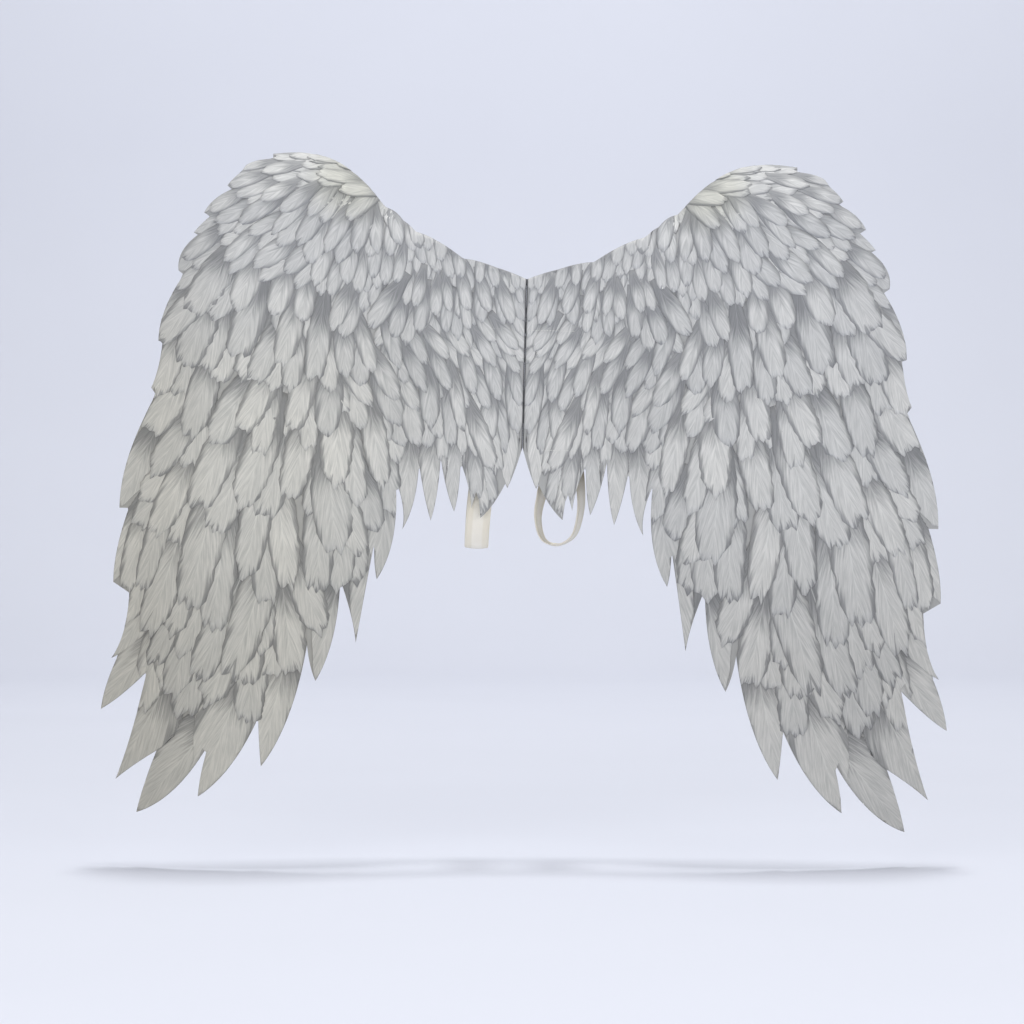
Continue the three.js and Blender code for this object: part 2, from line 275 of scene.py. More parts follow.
def new_piece(name, points, faces, edges=()):
    """A mesh object at the origin, from points in millimetres."""
    mesh = bpy.data.meshes.new(name)
    mesh.from_pydata([Vector(p) * MM for p in points], edges, [tuple(int(i) for i in f) for f in faces])
    mesh.validate()
    piece = bpy.data.objects.new(name, mesh)
    bpy.context.scene.collection.objects.link(piece)
    return piece


def shade(piece, crease):
    """Smooth shading, except where faces meet at more degrees than the crease."""
    piece.data.shade_smooth()
    piece.data.set_sharp_from_angle(angle=math.radians(crease))


def make_panel(name, side, span):
    """A closed sheet whose faces are printed felt (0), plain backing (1) and the cut edge (2)."""
    cut = laid_flat(wing_outline(span))
    low, high = cut.min(axis=0), cut.max(axis=0)
    rows = np.arange(low[1], high[1], CLOTH_CELL * math.sqrt(3) / 2)
    grid = [
        (x + CLOTH_CELL / 2 * (i % 2), z)
        for i, z in enumerate(rows)
        for x in np.arange(low[0] + CLOTH_CELL / 2, high[0], CLOTH_CELL)
    ]
    round_strip = [(x, z) for x in np.linspace(0, -FLANGE_ROUND * math.pi / 2, 5) for z in rows]
    grid = np.array([p for p in grid if p[0] > CLOTH_CELL / 2] + round_strip)
    filling = grid[inside(grid, cut)]
    flat = [Vector(p) for p in np.concatenate([cut, filling])]
    flat, _, triangles, *_ = delaunay_2d_cdt(flat, [], [list(range(len(cut)))], 1, 1e-5)
    front, back = formed(np.array([tuple(p) for p in flat]), span)
    front[:, 0] *= side
    back[:, 0] *= side
    count = len(front)
    faces = [tri if side > 0 else tri[::-1] for tri in triangles]
    used = {(a, b) for tri in faces for a, b in zip(tri, [*tri[1:], tri[0]])}
    rim = [(b, a, a + count, b + count) for a, b in used if (b, a) not in used]
    rim.sort()
    backs = [tuple(i + count for i in reversed(tri)) for tri in faces]
    panel = new_piece(name, np.concatenate([front, back]), faces + backs + rim)
    kinds = [0] * len(faces) + [1] * len(backs) + [2] * len(rim)
    panel.data.polygons.foreach_set("material_index", kinds)
    shade(panel, PANEL_CREASE)
    return panel


def paint(sheet_hex):
    """An sRGB hex colour as linear red, green, blue and alpha."""
    parts = [int(sheet_hex[i : i + 2], 16) / 255 for i in (1, 3, 5)]
    linear = [c / 12.92 if c <= 0.04045 else ((c + 0.055) / 1.055) ** 2.4 for c in parts]
    return (*linear, 1.0)


def add(tree, kind, inputs=(), output=0, **settings):
    """Adds a node with its settings, gives each input a value or a link, and hands on one of its outputs."""
    node = tree.nodes.new(kind)
    for name, value in settings.items():
        setattr(node, name, value)
    for socket, value in dict(inputs).items():
        if isinstance(value, bpy.types.NodeSocket):
            tree.links.new(value, node.inputs[socket])
        else:
            node.inputs[socket].default_value = value
    return node.outputs[output] if len(node.outputs) else node


def new_material(name):
    material = bpy.data.materials.new(name)
    material.use_nodes = True
    material.node_tree.nodes.clear()
    return material, material.node_tree


def finish_material(tree, colour, roughness, bump, **constants):
    """Joins colour, roughness and bump to a Principled surface and sets its constants on its own sockets."""
    inputs = {"Base Color": colour, "Roughness": roughness, "Normal": bump}
    surface = add(tree, "ShaderNodeBsdfPrincipled", inputs)
    for socket, value in constants.items():
        surface.node.inputs[socket.replace("_", " ")].default_value = value
    add(tree, "ShaderNodeOutputMaterial", {"Surface": surface})


def tinted(tree, colour, share, tint):
    """The colour multiplied by a tint, as strongly as the share says."""
    inputs = {0: share, 6: colour, 7: tint if isinstance(tint, bpy.types.NodeSocket) else paint(tint)}
    return add(tree, "ShaderNodeMix", inputs, 2, data_type="RGBA", blend_type="MULTIPLY")


def eased(tree, value, start, end, low, high):
    """The value carried smoothly from one range to another."""
    ranges = {0: value, 1: start, 2: end, 3: low, 4: high}
    return add(tree, "ShaderNodeMapRange", ranges, interpolation_type="SMOOTHSTEP")


# Slow changes over the whole pair of wings: warmer on the left wing below the shoulder, painted shade on the
# long feathers low down and at the left wing's outer end, a painted warm light where the shoulder meets the
# inner part, and painted shade dark in the crease where the two wings meet. Places are in metres.
SHOULDER_LIGHT_OUT = 0.22
SHOULDER_LIGHT_UP = 0.222


def tints_and_painted_light(tree, colour):
    """The print's colour with the slow changes over the whole pair of wings: a warmer tint, painted warm
    light and painted shade.
    """
    x = add(tree, "ShaderNodeSeparateXYZ", {0: add(tree, "ShaderNodeTexCoord", output=3)})
    z = x.node.outputs[2]
    outward = eased(tree, x, -0.02, -0.32, 0.2, 0.7)
    low = eased(tree, z, 0.16, -0.1, 0.2, 1.0)
    warm = add(tree, "ShaderNodeMath", {0: outward, 1: low}, operation="MULTIPLY")
    colour = tinted(tree, colour, warm, "#FFFBEC")
    # Painted shade: the long feathers low down are darker.
    colour = tinted(tree, colour, eased(tree, z, -0.08, -0.4, 0.0, 1.0), "#EAE9E7")
    # Painted shade: the left wing's outer end is slightly darker.
    colour = tinted(tree, colour, eased(tree, x, -0.34, -0.46, 0.0, 1.0), "#F3F2F0")
    aside = add(tree, "ShaderNodeMath", {0: x}, operation="ABSOLUTE")
    # Painted warm light: a faint yellow tint on each wing's shoulder hump, where it meets the inner part.
    from_patch = add(tree, "ShaderNodeMath", {0: aside, 1: SHOULDER_LIGHT_OUT}, operation="SUBTRACT")
    above = add(tree, "ShaderNodeMath", {0: z, 1: SHOULDER_LIGHT_UP}, operation="SUBTRACT")
    spot = add(tree, "ShaderNodeCombineXYZ", {0: from_patch, 2: above})
    apart = add(tree, "ShaderNodeVectorMath", {0: spot}, 1, operation="LENGTH")
    colour = tinted(tree, colour, eased(tree, apart, 0.02, 0.065, 0.5, 0.0), "#FAF9E8")
    # Painted shade: dark grey in the crease where the two wings meet, within about 2 mm of the seam.
    return tinted(tree, colour, eased(tree, aside, 0.0006, 0.0021, 1.0, 0.0), "#7E7F82")


# Printed ground: non-woven felt with a flat transfer print, matt, in the soft grey that lies between the
# feathers. The eye gets a slow mottle, fine streaks along the feathers' run and the felt's fuzz.
material_ground, tree = new_material("printed_felt_ground")
where = add(tree, "ShaderNodeTexCoord", output=3)
mottle = add(tree, "ShaderNodeTexNoise", {"Vector": where, "Scale": 45.0, "Detail": 3.0, "Roughness": 0.6})
fuzz = add(tree, "ShaderNodeTexNoise", {"Vector": where, "Scale": 900.0, "Detail": 4.0, "Roughness": 0.7})
stretch = add(tree, "ShaderNodeMapping", {"Vector": where, "Scale": (1.0, 1.0, 0.12)})
streak = add(tree, "ShaderNodeTexNoise", {"Vector": stretch, "Scale": 320.0, "Detail": 2.0})
ground = add(
    tree, "ShaderNodeMix", {0: mottle, 6: paint("#9B9C9D"), 7: paint("#AAABAC")}, 2, data_type="RGBA"
)
streaks = add(tree, "ShaderNodeMapRange", {0: streak, 1: 0.3, 2: 0.7, 3: 0.0, 4: 0.2})
ground = add(tree, "ShaderNodeMix", {0: streaks, 6: ground, 7: paint("#BCBEBC")}, 2, data_type="RGBA")
grain = add(tree, "ShaderNodeBump", {"Strength": 0.25, "Distance": 0.0003, "Height": fuzz})
finish_material(tree, tints_and_painted_light(tree, ground), 0.88, grain, Sheen_Weight=0.08, Sheen_Roughness=0.6)

# Plain backing: the same non-woven felt unprinted, off-white, with longer fibres that lie every way and a
# few darker ones among them.
material_backing, tree = new_material("plain_nonwoven_backing")
where = add(tree, "ShaderNodeTexCoord", output=3)
cloud = add(tree, "ShaderNodeTexNoise", {"Vector": where, "Scale": 28.0, "Detail": 4.0, "Roughness": 0.65})
swirl = add(tree, "ShaderNodeTexNoise", {"Vector": where, "Scale": 130.0, "Detail": 3.0, "Distortion": 2.4})
fibre = add(tree, "ShaderNodeTexNoise", {"Vector": where, "Scale": 700.0, "Detail": 5.0, "Distortion": 3.0})
backing = add(
    tree, "ShaderNodeMix", {0: cloud, 6: paint("#C9C9C4"), 7: paint("#E2E2DE")}, 2, data_type="RGBA"
)
matted = add(tree, "ShaderNodeMapRange", {0: swirl, 1: 0.42, 2: 0.62, 3: 0.0, 4: 0.3})
backing = add(tree, "ShaderNodeMix", {0: matted, 6: backing, 7: paint("#B9B9B2")}, 2, data_type="RGBA")
thread = add(tree, "ShaderNodeMapRange", {0: fibre, 1: 0.55, 2: 0.72, 3: 0.0, 4: 0.5})
backing = add(tree, "ShaderNodeMix", {0: thread, 6: backing, 7: paint("#F2F2EE")}, 2, data_type="RGBA")
height = add(tree, "ShaderNodeMath", {0: swirl, 1: fibre}, operation="ADD")
grain = add(tree, "ShaderNodeBump", {"Strength": 0.5, "Distance": 0.0005, "Height": height})
finish_material(tree, backing, 0.93, grain, Sheen_Weight=0.15, Sheen_Roughness=0.5)

# Cut edge: die-cut felt, where the printed skin, the fuzzy body and the backing show as fine layers.
material_edge, tree = new_material("die_cut_felt_edge")
where = add(tree, "ShaderNodeTexCoord", output=3)
layers = add(tree, "ShaderNodeMapping", {"Vector": where, "Scale": (1.0, 9.0, 1.0)})
ply = add(tree, "ShaderNodeTexNoise", {"Vector": layers, "Scale": 160.0, "Detail": 4.0})
fuzz = add(tree, "ShaderNodeTexNoise", {"Vector": where, "Scale": 1100.0, "Detail": 3.0})
edge = add(tree, "ShaderNodeMix", {0: ply, 6: paint("#8C8D86"), 7: paint("#C2C3BC")}, 2, data_type="RGBA")
grain = add(tree, "ShaderNodeBump", {"Strength": 0.5, "Distance": 0.0004, "Height": fuzz})
finish_material(tree, edge, 0.92, grain, Sheen_Weight=0.1, Sheen_Roughness=0.5)

panels, prints = {}, {}
for wing in WINGS:
    panel = make_panel(f"{wing['name']}_felt", wing["side"], wing["spread"] * HALF_SPAN)
    for material in (material_ground, material_backing, material_edge):
        panel.data.materials.append(material)
    panels[wing["name"]] = panel

# The printed feathers
# Rows of grey and white feathers transfer-printed on the felt, each row's tips over the roots of the row
# below. The print is slightly raised, so each feather is a thin blade with split barbs at its tip and sides.
CARD_LENGTH = 1.7  # a blade's whole length over the part of it that shows
CARD_WIDTH = 1.08  # its width over the width that shows
EDGE_WIDTH = 1.15  # the same for the feathers that the cut edge trims
ROW_PITCH = 0.84  # spacing of feathers in a row over their width, where they stand side by side
TIP_PITCH = 0.7  # the same over their length, where one stands behind another
LARGE_FROM = 60  # a feather that shows more of its length than this gets a large blade
STAGGER = 0.16  # how far every other tip stands back, over the length that shows
UNEVEN_PLACE = 0.12  # how far a feather strays from its place, over its length and over its width
UNEVEN_TURN = 9
UNEVEN_LENGTH = (0.9, 1.1)
UNEVEN_WIDTH = (0.84, 1.14)
ROOT_LIFT = 0.6  # how high a feather's root lies over the felt
ROW_SLOPE = 0.0095  # how steeply a feather rises from its root to its tip, the same for all in the rows
EDGE_SLOPE = 0.004
EDGE_LIFT = -0.2
STEP_LIFT = 0.1  # how much higher than its neighbours every other feather lies
CLEAR_LIFT = 0.12  # how far apart two overlapping feathers are laid, where the limits below allow it
LOWEST_LIFT = -0.4
HIGHEST_LIFT = 0.7
CLEARING_ROUNDS = 60
CLEARING_SHARE = 0.25  # how much of what is missing each round makes up
CROWN = 0.12  # how much lower a feather's sides lie than its middle
WALL_DEPTH = 2.6  # how far the edge of the print reaches down into the felt
WEB = 1.2  # how far a face may stand off the felt before it counts as bridging a notch
PRINT_MARGIN = 0.35
FILL_STEP = 6  # spacing of the places that are looked at for felt left bare
FILL_MARGIN = 5  # how far inside the cut they begin
FILL_FROM_SEAM = 1.4 * FLANGE_ROUND
FILL_BACK = 0.22  # how far a feather put there has its tip below the bare place, over its length
FILL_LENGTH = 0.92

# Feathers that set each row, from the seam outwards: tip out and up in millimetres on the mean pattern, lean
# of the tip outwards in degrees, and the length and width that show. The row is filled between them.
FEATHER_ROWS = (
    ((250, 239, 80, 37, 13), (288, 248, 88, 42, 13), (325, 247, 90, 39, 13)),
    ((244, 206, 75, 42, 18), (275, 226, 85, 42, 16), (316, 220, 90, 42, 16), (362, 232, 80, 32, 13)),
    ((238, 161, 38, 51, 22), (279, 168, 36, 39, 18), (331, 178, 72, 42, 17), (379, 207, 70, 37, 16)),
    (
        (13, 90, -10, 25, 13),
        (71, 96, -8, 29, 15),
        (147, 137, -5, 37, 16),
        (201, 125, 5, 44, 18),
        (273, 118, 28, 54, 25),
        (347, 152, 58, 49, 20),
        (404, 175, 65, 42, 18),
    ),
    (
        (16, 47, -15, 39, 17),
        (84, 63, -3, 34, 15),
        (129, 49, 8, 32, 15),
        (177, 97, 10, 39, 17),
        (246, 81, 18, 47, 20),
        (330, 97, 45, 51, 25),
        (392, 105, 50, 49, 22),
        (434, 115, 55, 44, 22),
    ),
    (
        (4, 13, -45, 34, 15),
        (71, 34, -8, 39, 17),
        (150, 22, 5, 39, 20),
        (204, 30, 35, 47, 23),
        (264, 26, 5, 39, 23),
        (339, 44, 12, 51, 29),
        (386, 55, 30, 56, 34),
        (457, 29, 38, 86, 39),
    ),
    (
        (3, -14, -25, 34, 16),
        (65, 2, -33, 39, 17),
        (119, -10, -25, 42, 18),
        (170, -26, -10, 51, 22),
        (224, -27, -8, 54, 26),
        (265, -40, 5, 66, 27),
        (335, -27, 22, 71, 34),
        (400, -16, 26, 69, 37),
        (461, -45, 30, 74, 42),
    ),
    (
        (2, -55, -15, 44, 17),
        (56, -53, -18, 51, 18),
        (106, -41, -25, 44, 20),
        (184, -66, -25, 49, 23),
        (217, -63, -32, 49, 27),
    ),
    (
        (6, -97, -14, 54, 20),
        (42, -105, -3, 54, 20),
        (93, -99, -8, 61, 20),
        (156, -87, -18, 56, 27),
        (200, -97, -15, 51, 28),
        (292, -110, 10, 69, 29),
        (356, -107, 25, 78, 37),
        (423, -114, 22, 83, 37),
        (466, -92, 30, 81, 42),
    ),
    ((30, -150, -12, 70, 25), (46, -174, -8, 72, 22)),
    ((27, -151, -18, 66, 23), (36, -168, -16, 64, 20), (52, -184, -6, 60, 18)),
    (
        (173, -166, -8, 86, 34),
        (263, -180, 5, 86, 36),
        (322, -191, 8, 83, 37),
        (386, -212, 22, 108, 44),
        (451, -206, 22, 86, 39),
        (474, -163, 35, 74, 34),
    ),
    (
        (181, -222, -20, 59, 31),
        (224, -260, -2, 108, 44),
        (282, -303, -3, 113, 34),
        (314, -300, 2, 110, 39),
        (376, -325, 10, 120, 43),
        (454, -329, 27, 132, 44),
        (485, -318, 18, 98, 34),
    ),
    (
        (244, -353, -15, 86, 37),
        (281, -382, -5, 86, 37),
        (318, -380, -5, 76, 32),
        (370, -428, 12, 123, 49),
        (438, -361, 24, 88, 37),
    ),
)

# The feathers whose tips are the cut edge's own, in its order: lean, whole length and width.
EDGE_PRINTS = (
    (0, 130, 25),
    (-4, 145, 34),
    (2, 120, 20),
    (0, 130, 30),
    (1, 140, 32),
    (4, 150, 34),
    (5, 147, 37),
    (8, 159, 34),
    (12, 159, 37),
    (12, 184, 49),
    (20, 208, 71),
    (40, 208, 61),
    (28, 184, 69),
    (38, 159, 49),
    (35, 123, 32),
    (22, 135, 37),
    (25, 135, 39),
    (30, 98, 37),
    (38, 98, 49),
    (50, 61, 32),
    (60, 55, 25),
    (70, 55, 25),
    (60, 49, 20),
    (75, 43, 20),
)

# Blades of each kind: how many, faces across and along them, how far their sides and their split barbs end
# short of the tip, how much they narrow towards it, how deep their side notches are and how much they bend.
BLADE_LABELS = ("count", "columns", "rows", "round", "split", "narrow", "notch", "bend")
BLADE_KINDS = {
    "small": dict(zip(BLADE_LABELS, (5, 6, 8, 0.16, 0.06, 0.4, 0.05, 0.12))),
    "large": dict(zip(BLADE_LABELS, (7, 6, 12, 0.11, 0.1, 0.4, 0.13, 0.1))),
    "edge": dict(zip(BLADE_LABELS, (5, 14, 36, 0.45, 0.04, 0.35, 0.08, 0.06))),
}


def label_points(piece, labels):
    """Named values on the points of a piece, for its material or a geometry tree to read."""
    for label, values in labels.items():
        piece.data.attributes.new(label, "FLOAT", "POINT").data.foreach_set("value", values)


def make_blade(name, chance, kind):
    """A flat blade of unit width and length, its tip at the origin and its root up +Z. Its root half widens
    to the full width, its last half narrows, and every other point of its sides is notched.
    """
    bend = chance.uniform(-kind["bend"], kind["bend"])
    rows, columns = kind["rows"], kind["columns"]
    points, labels = [], {"across": [], "along": [], "reach": []}
    splits = [chance.uniform(0, kind["split"]) for _ in range(columns + 1)]
    for row in range(rows + 1):
        share = row / rows
        for column in range(columns + 1):
            u = 2 * column / columns - 1
            short = kind["round"] * abs(u) ** 1.9 + splits[column]
            v = share * (1 - short * share**1.5)
            body = 0.5 + 0.5 * float(smooth_step(0.0, 0.5, v))
            narrow = kind["narrow"] * max(0.0, (v - 0.52) / 0.48) ** 2
            notched = abs(u) == 1 and row % 2 and row > 3
            notch = chance.uniform(0, kind["notch"]) if notched else 0.0
            x = 0.5 * u * body * (1 - narrow) * (1 - notch)
            points.append((x + bend * (1 - v) ** 2, 0, 1 - v))
            for label, value in zip(labels, (u, v, share)):
                labels[label].append(value)
    wide = columns + 1
    faces = [
        (a + wide, a + 1 + wide, a + 1, a)
        for row in range(rows)
        for a in range(row * wide, row * wide + columns)
    ]
    blade = new_piece(name, [tuple(c / MM for c in p) for p in points], faces)
    label_points(blade, labels)
    return blade


def fill_row(knots):
    """The row's feathers: its own and evenly spaced ones between them."""
    feathers = []
    for start, end in zip(knots, knots[1:]):
        start, end = np.array(start, float), np.array(end, float)
        mean = (start + end) / 2
        lean = math.radians(mean[2])
        step = end[:2] - start[:2]
        beside = abs(step[0] * math.cos(lean) + step[1] * math.sin(lean)) / (ROW_PITCH * mean[4])
        behind = abs(step[0] * math.sin(lean) - step[1] * math.cos(lean)) / (TIP_PITCH * mean[3])
        count = max(1, round(math.hypot(beside, behind)))
        feathers += [start + (end - start) * k / count for k in range(count)]
    return [*feathers, np.array(knots[-1], float)]


def pale_end(feather, points):
    """Which points lie on the feather's pale end or close beside it."""
    lean = math.radians(feather["turn"])
    out, up = points[:, 0] - feather["out"], points[:, 1] - feather["up"]
    back = up * math.cos(lean) - out * math.sin(lean)
    aside = np.abs(out * math.cos(lean) + up * math.sin(lean))
    long, wide = feather["long"], feather["wide"]
    tip_half, shoulder, reach = 0.24, 0.25, 0.6
    if long > LARGE_FROM * CARD_LENGTH:
        tip_half, reach = 0.27, 0.65
    if feather["edge"]:
        tip_half, shoulder, reach = 0.15, 0.35, 0.65
    swell, past_tip = 0.34, 0.15
    half = wide * (tip_half + swell * np.clip(back / (shoulder * long), 0, 1))
    return (back > -past_tip * wide) & (back < reach * long) & (aside < half)


def bare_felt_feathers(places, chance, first_blade):
    """More feathers wherever the rows leave felt bare, sized and leaning as the ones round them."""
    outline = wing_outline(HALF_SPAN)
    low, high = outline.min(axis=0), outline.max(axis=0)
    columns, rows = np.arange(low[0], high[0], FILL_STEP), np.arange(high[1], low[1], -FILL_STEP)
    looked_at = np.array([(x, z) for z in rows for x in columns])
    looked_at = looked_at[inside(looked_at, outline, FILL_MARGIN) & (looked_at[:, 0] > FILL_FROM_SEAM)]
    bare = np.ones(len(looked_at), bool)
    for feather in places:
        bare &= ~pale_end(feather, looked_at)
    own = np.array([(p["out"], p["up"], p["turn"], p["long"], p["wide"]) for p in places if not p["edge"]])
    more = []
    for number, point in enumerate(looked_at):
        if not bare[number]:
            continue
        near = 1 / (np.hypot(own[:, 0] - point[0], own[:, 1] - point[1]) + 4) ** 4
        turn, long, wide = near @ own[:, 2:] / near.sum()
        lean = math.radians(turn)
        feather = {
            "out": point[0] + FILL_BACK * long * math.sin(lean) + chance.uniform(-0.08, 0.08) * wide,
            "up": point[1] - FILL_BACK * long * math.cos(lean),
            "turn": turn + chance.uniform(-8, 8),
            "long": FILL_LENGTH * long,
            "wide": wide * chance.uniform(0.88, 1.05),
            "lift": -3 * STEP_LIFT,
            "slope": ROW_SLOPE,
            "edge": False,
        }
        kind = "large" if long > LARGE_FROM * CARD_LENGTH else "small"
        feather["blade"] = first_blade[kind] + chance.randrange(BLADE_KINDS[kind]["count"])
        bare &= ~pale_end(feather, looked_at)
        more.append(feather)
    return more


def blade_heights(feather, points):
    """How high the feather's blade lies over the felt at each of the points, and which of them it covers."""
    lean = math.radians(feather["turn"])
    out, up = points[:, 0] - feather["out"], points[:, 1] - feather["up"]
    along = 1 - (up * math.cos(lean) - out * math.sin(lean)) / feather["long"]
    body = 0.5 + 0.5 * smooth_step(0.0, 0.5, along)
    across = 2 * (out * math.cos(lean) + up * math.sin(lean)) / (feather["wide"] * body)
    height = (feather["slope"] * feather["long"] - CROWN * across**2) * along
    return height, (along > 0) & (along < 1) & (np.abs(across) < 1)


def lay_clear(places):
    """Raises and lowers feathers a little, so that no two that overlap lie in the same plane."""
    across, along = np.meshgrid(np.linspace(-0.44, 0.44, 5), np.linspace(0.03, 0.97, 14))
    pairs = []
    for i, feather in enumerate(places):
        lean = math.radians(feather["turn"])
        aside, back = across.ravel() * feather["wide"], along.ravel() * feather["long"]
        points = np.stack(
            [
                feather["out"] + aside * math.cos(lean) - back * math.sin(lean),
                feather["up"] + aside * math.sin(lean) + back * math.cos(lean),
            ],
            axis=1,
        )
        own, on_own = blade_heights(feather, points)
        for j, other in enumerate(places[:i]):
            between = math.hypot(feather["out"] - other["out"], feather["up"] - other["up"])
            if between < feather["long"] + other["long"]:
                height, covered = blade_heights(other, points)
                apart = (own - height)[covered & on_own]
                if len(apart):
                    pairs.append((i, j, apart.min(), apart.max(), apart.mean()))
    lifts = [feather["lift"] for feather in places]
    for _ in range(CLEARING_ROUNDS):
        for i, j, least, most, mean in pairs:
            higher = lifts[i] - lifts[j]
            short = CLEAR_LIFT - (least + higher) if mean + higher > 0 else CLEAR_LIFT + most + higher
            push = CLEARING_SHARE * max(0.0, short) * (1 if mean + higher > 0 else -1)
            lifts[i] = min(HIGHEST_LIFT, max(LOWEST_LIFT, lifts[i] + push))
            lifts[j] = min(HIGHEST_LIFT, max(LOWEST_LIFT, lifts[j] - push))
    for feather, lift in zip(places, lifts):
        feather["lift"] = lift


def feather_places():
    """Every feather on the mean pattern, as a dict of its place, sizes and variations."""
    chance = random.Random(11)
    first_blade = {}
    for kind, settings in BLADE_KINDS.items():
        first_blade[kind] = sum(BLADE_KINDS[k]["count"] for k in first_blade)
    places = []
    for row in FEATHER_ROWS:
        for number, (out, up, lean, long, wide) in enumerate(fill_row(row)):
            back = (STAGGER * (-1) ** number + chance.uniform(-UNEVEN_PLACE, UNEVEN_PLACE)) * long
            aside = chance.uniform(-UNEVEN_PLACE, UNEVEN_PLACE) * wide
            kind = "large" if long > LARGE_FROM else "small"
            places.append(
                {
                    "out": out - back * math.sin(math.radians(lean)) + aside,
                    "up": up + back * math.cos(math.radians(lean)),
                    "turn": lean + chance.uniform(-UNEVEN_TURN, UNEVEN_TURN),
                    "long": long * CARD_LENGTH * chance.uniform(*UNEVEN_LENGTH),
                    "wide": wide * CARD_WIDTH * chance.uniform(*UNEVEN_WIDTH),
                    "lift": STEP_LIFT * (-1) ** number,
                    "slope": ROW_SLOPE,
                    "blade": first_blade[kind] + chance.randrange(BLADE_KINDS[kind]["count"]),
                    "edge": False,
                }
            )
    for number, ((tip_x, tip_z, *_), (lean, long, wide)) in enumerate(zip(EDGE_FEATHERS, EDGE_PRINTS)):
        places.append(
            {
                "out": tip_x * HALF_SPAN,
                "up": tip_z * WING_HEIGHT,
                "turn": lean,
                "long": long,
                "wide": EDGE_WIDTH * wide,
                "lift": STEP_LIFT * (-1) ** number + EDGE_LIFT,
                "slope": EDGE_SLOPE,
                "blade": first_blade["edge"] + chance.randrange(BLADE_KINDS["edge"]["count"]),
                "edge": True,
            }
        )
    places += bare_felt_feathers(places, chance, first_blade)
    lay_clear(places)
    for feather in places:
        feather["tone"] = chance.random()
        feather["seed"] = chance.random()
    return places


def make_places(name, side, spread, places):
    """A point for each feather's tip, with what the tree reads of it."""
    points = new_piece(name, [(side * spread * p["out"], 0, p["up"]) for p in places], [])
    values = {
        "turn": [-side * math.radians(p["turn"]) for p in places],
        "long": [p["long"] * MM for p in places],
        "wide": [p["wide"] * MM for p in places],
        "lift": [p["lift"] * MM for p in places],
        "rise": [p["slope"] * p["long"] * MM for p in places],
        "tone": [p["tone"] for p in places],
        "seed": [p["seed"] for p in places],
        "frayed": [0.0 if p["edge"] else 1.0 for p in places],
    }
    label_points(points, values)
    kinds = points.data.attributes.new("blade", "INT", "POINT")
    kinds.data.foreach_set("value", [p["blade"] for p in places])
    return points


def make_rim_line(name, side, span):
    """The outline drawn flat, a little inside the cut, for feathers that would reach past it."""
    outline = wing_outline(span)
    before, after = np.roll(outline, 1, axis=0), np.roll(outline, -1, axis=0)
    run = after - before
    inward = np.stack([-run[:, 1], run[:, 0]], axis=1) / np.maximum(1e-6, np.hypot(*run.T))[:, None]
    points = [(side * x, 0, z) for x, z in outline + PRINT_MARGIN * inward]
    return new_piece(name, points, [], [(i, (i + 1) % len(points)) for i in range(len(points))])


def new_tree(name, inputs, output):
    """A geometry tree with named inputs and one output, and what comes in by each input."""
    tree = bpy.data.node_groups.new(name, "GeometryNodeTree")
    for label, kind in inputs.items():
        tree.interface.new_socket(label, in_out="INPUT", socket_type=f"NodeSocket{kind}")
    tree.interface.new_socket(output, in_out="OUTPUT", socket_type="NodeSocketGeometry")
    return tree, add(tree, "NodeGroupInput").node.outputs


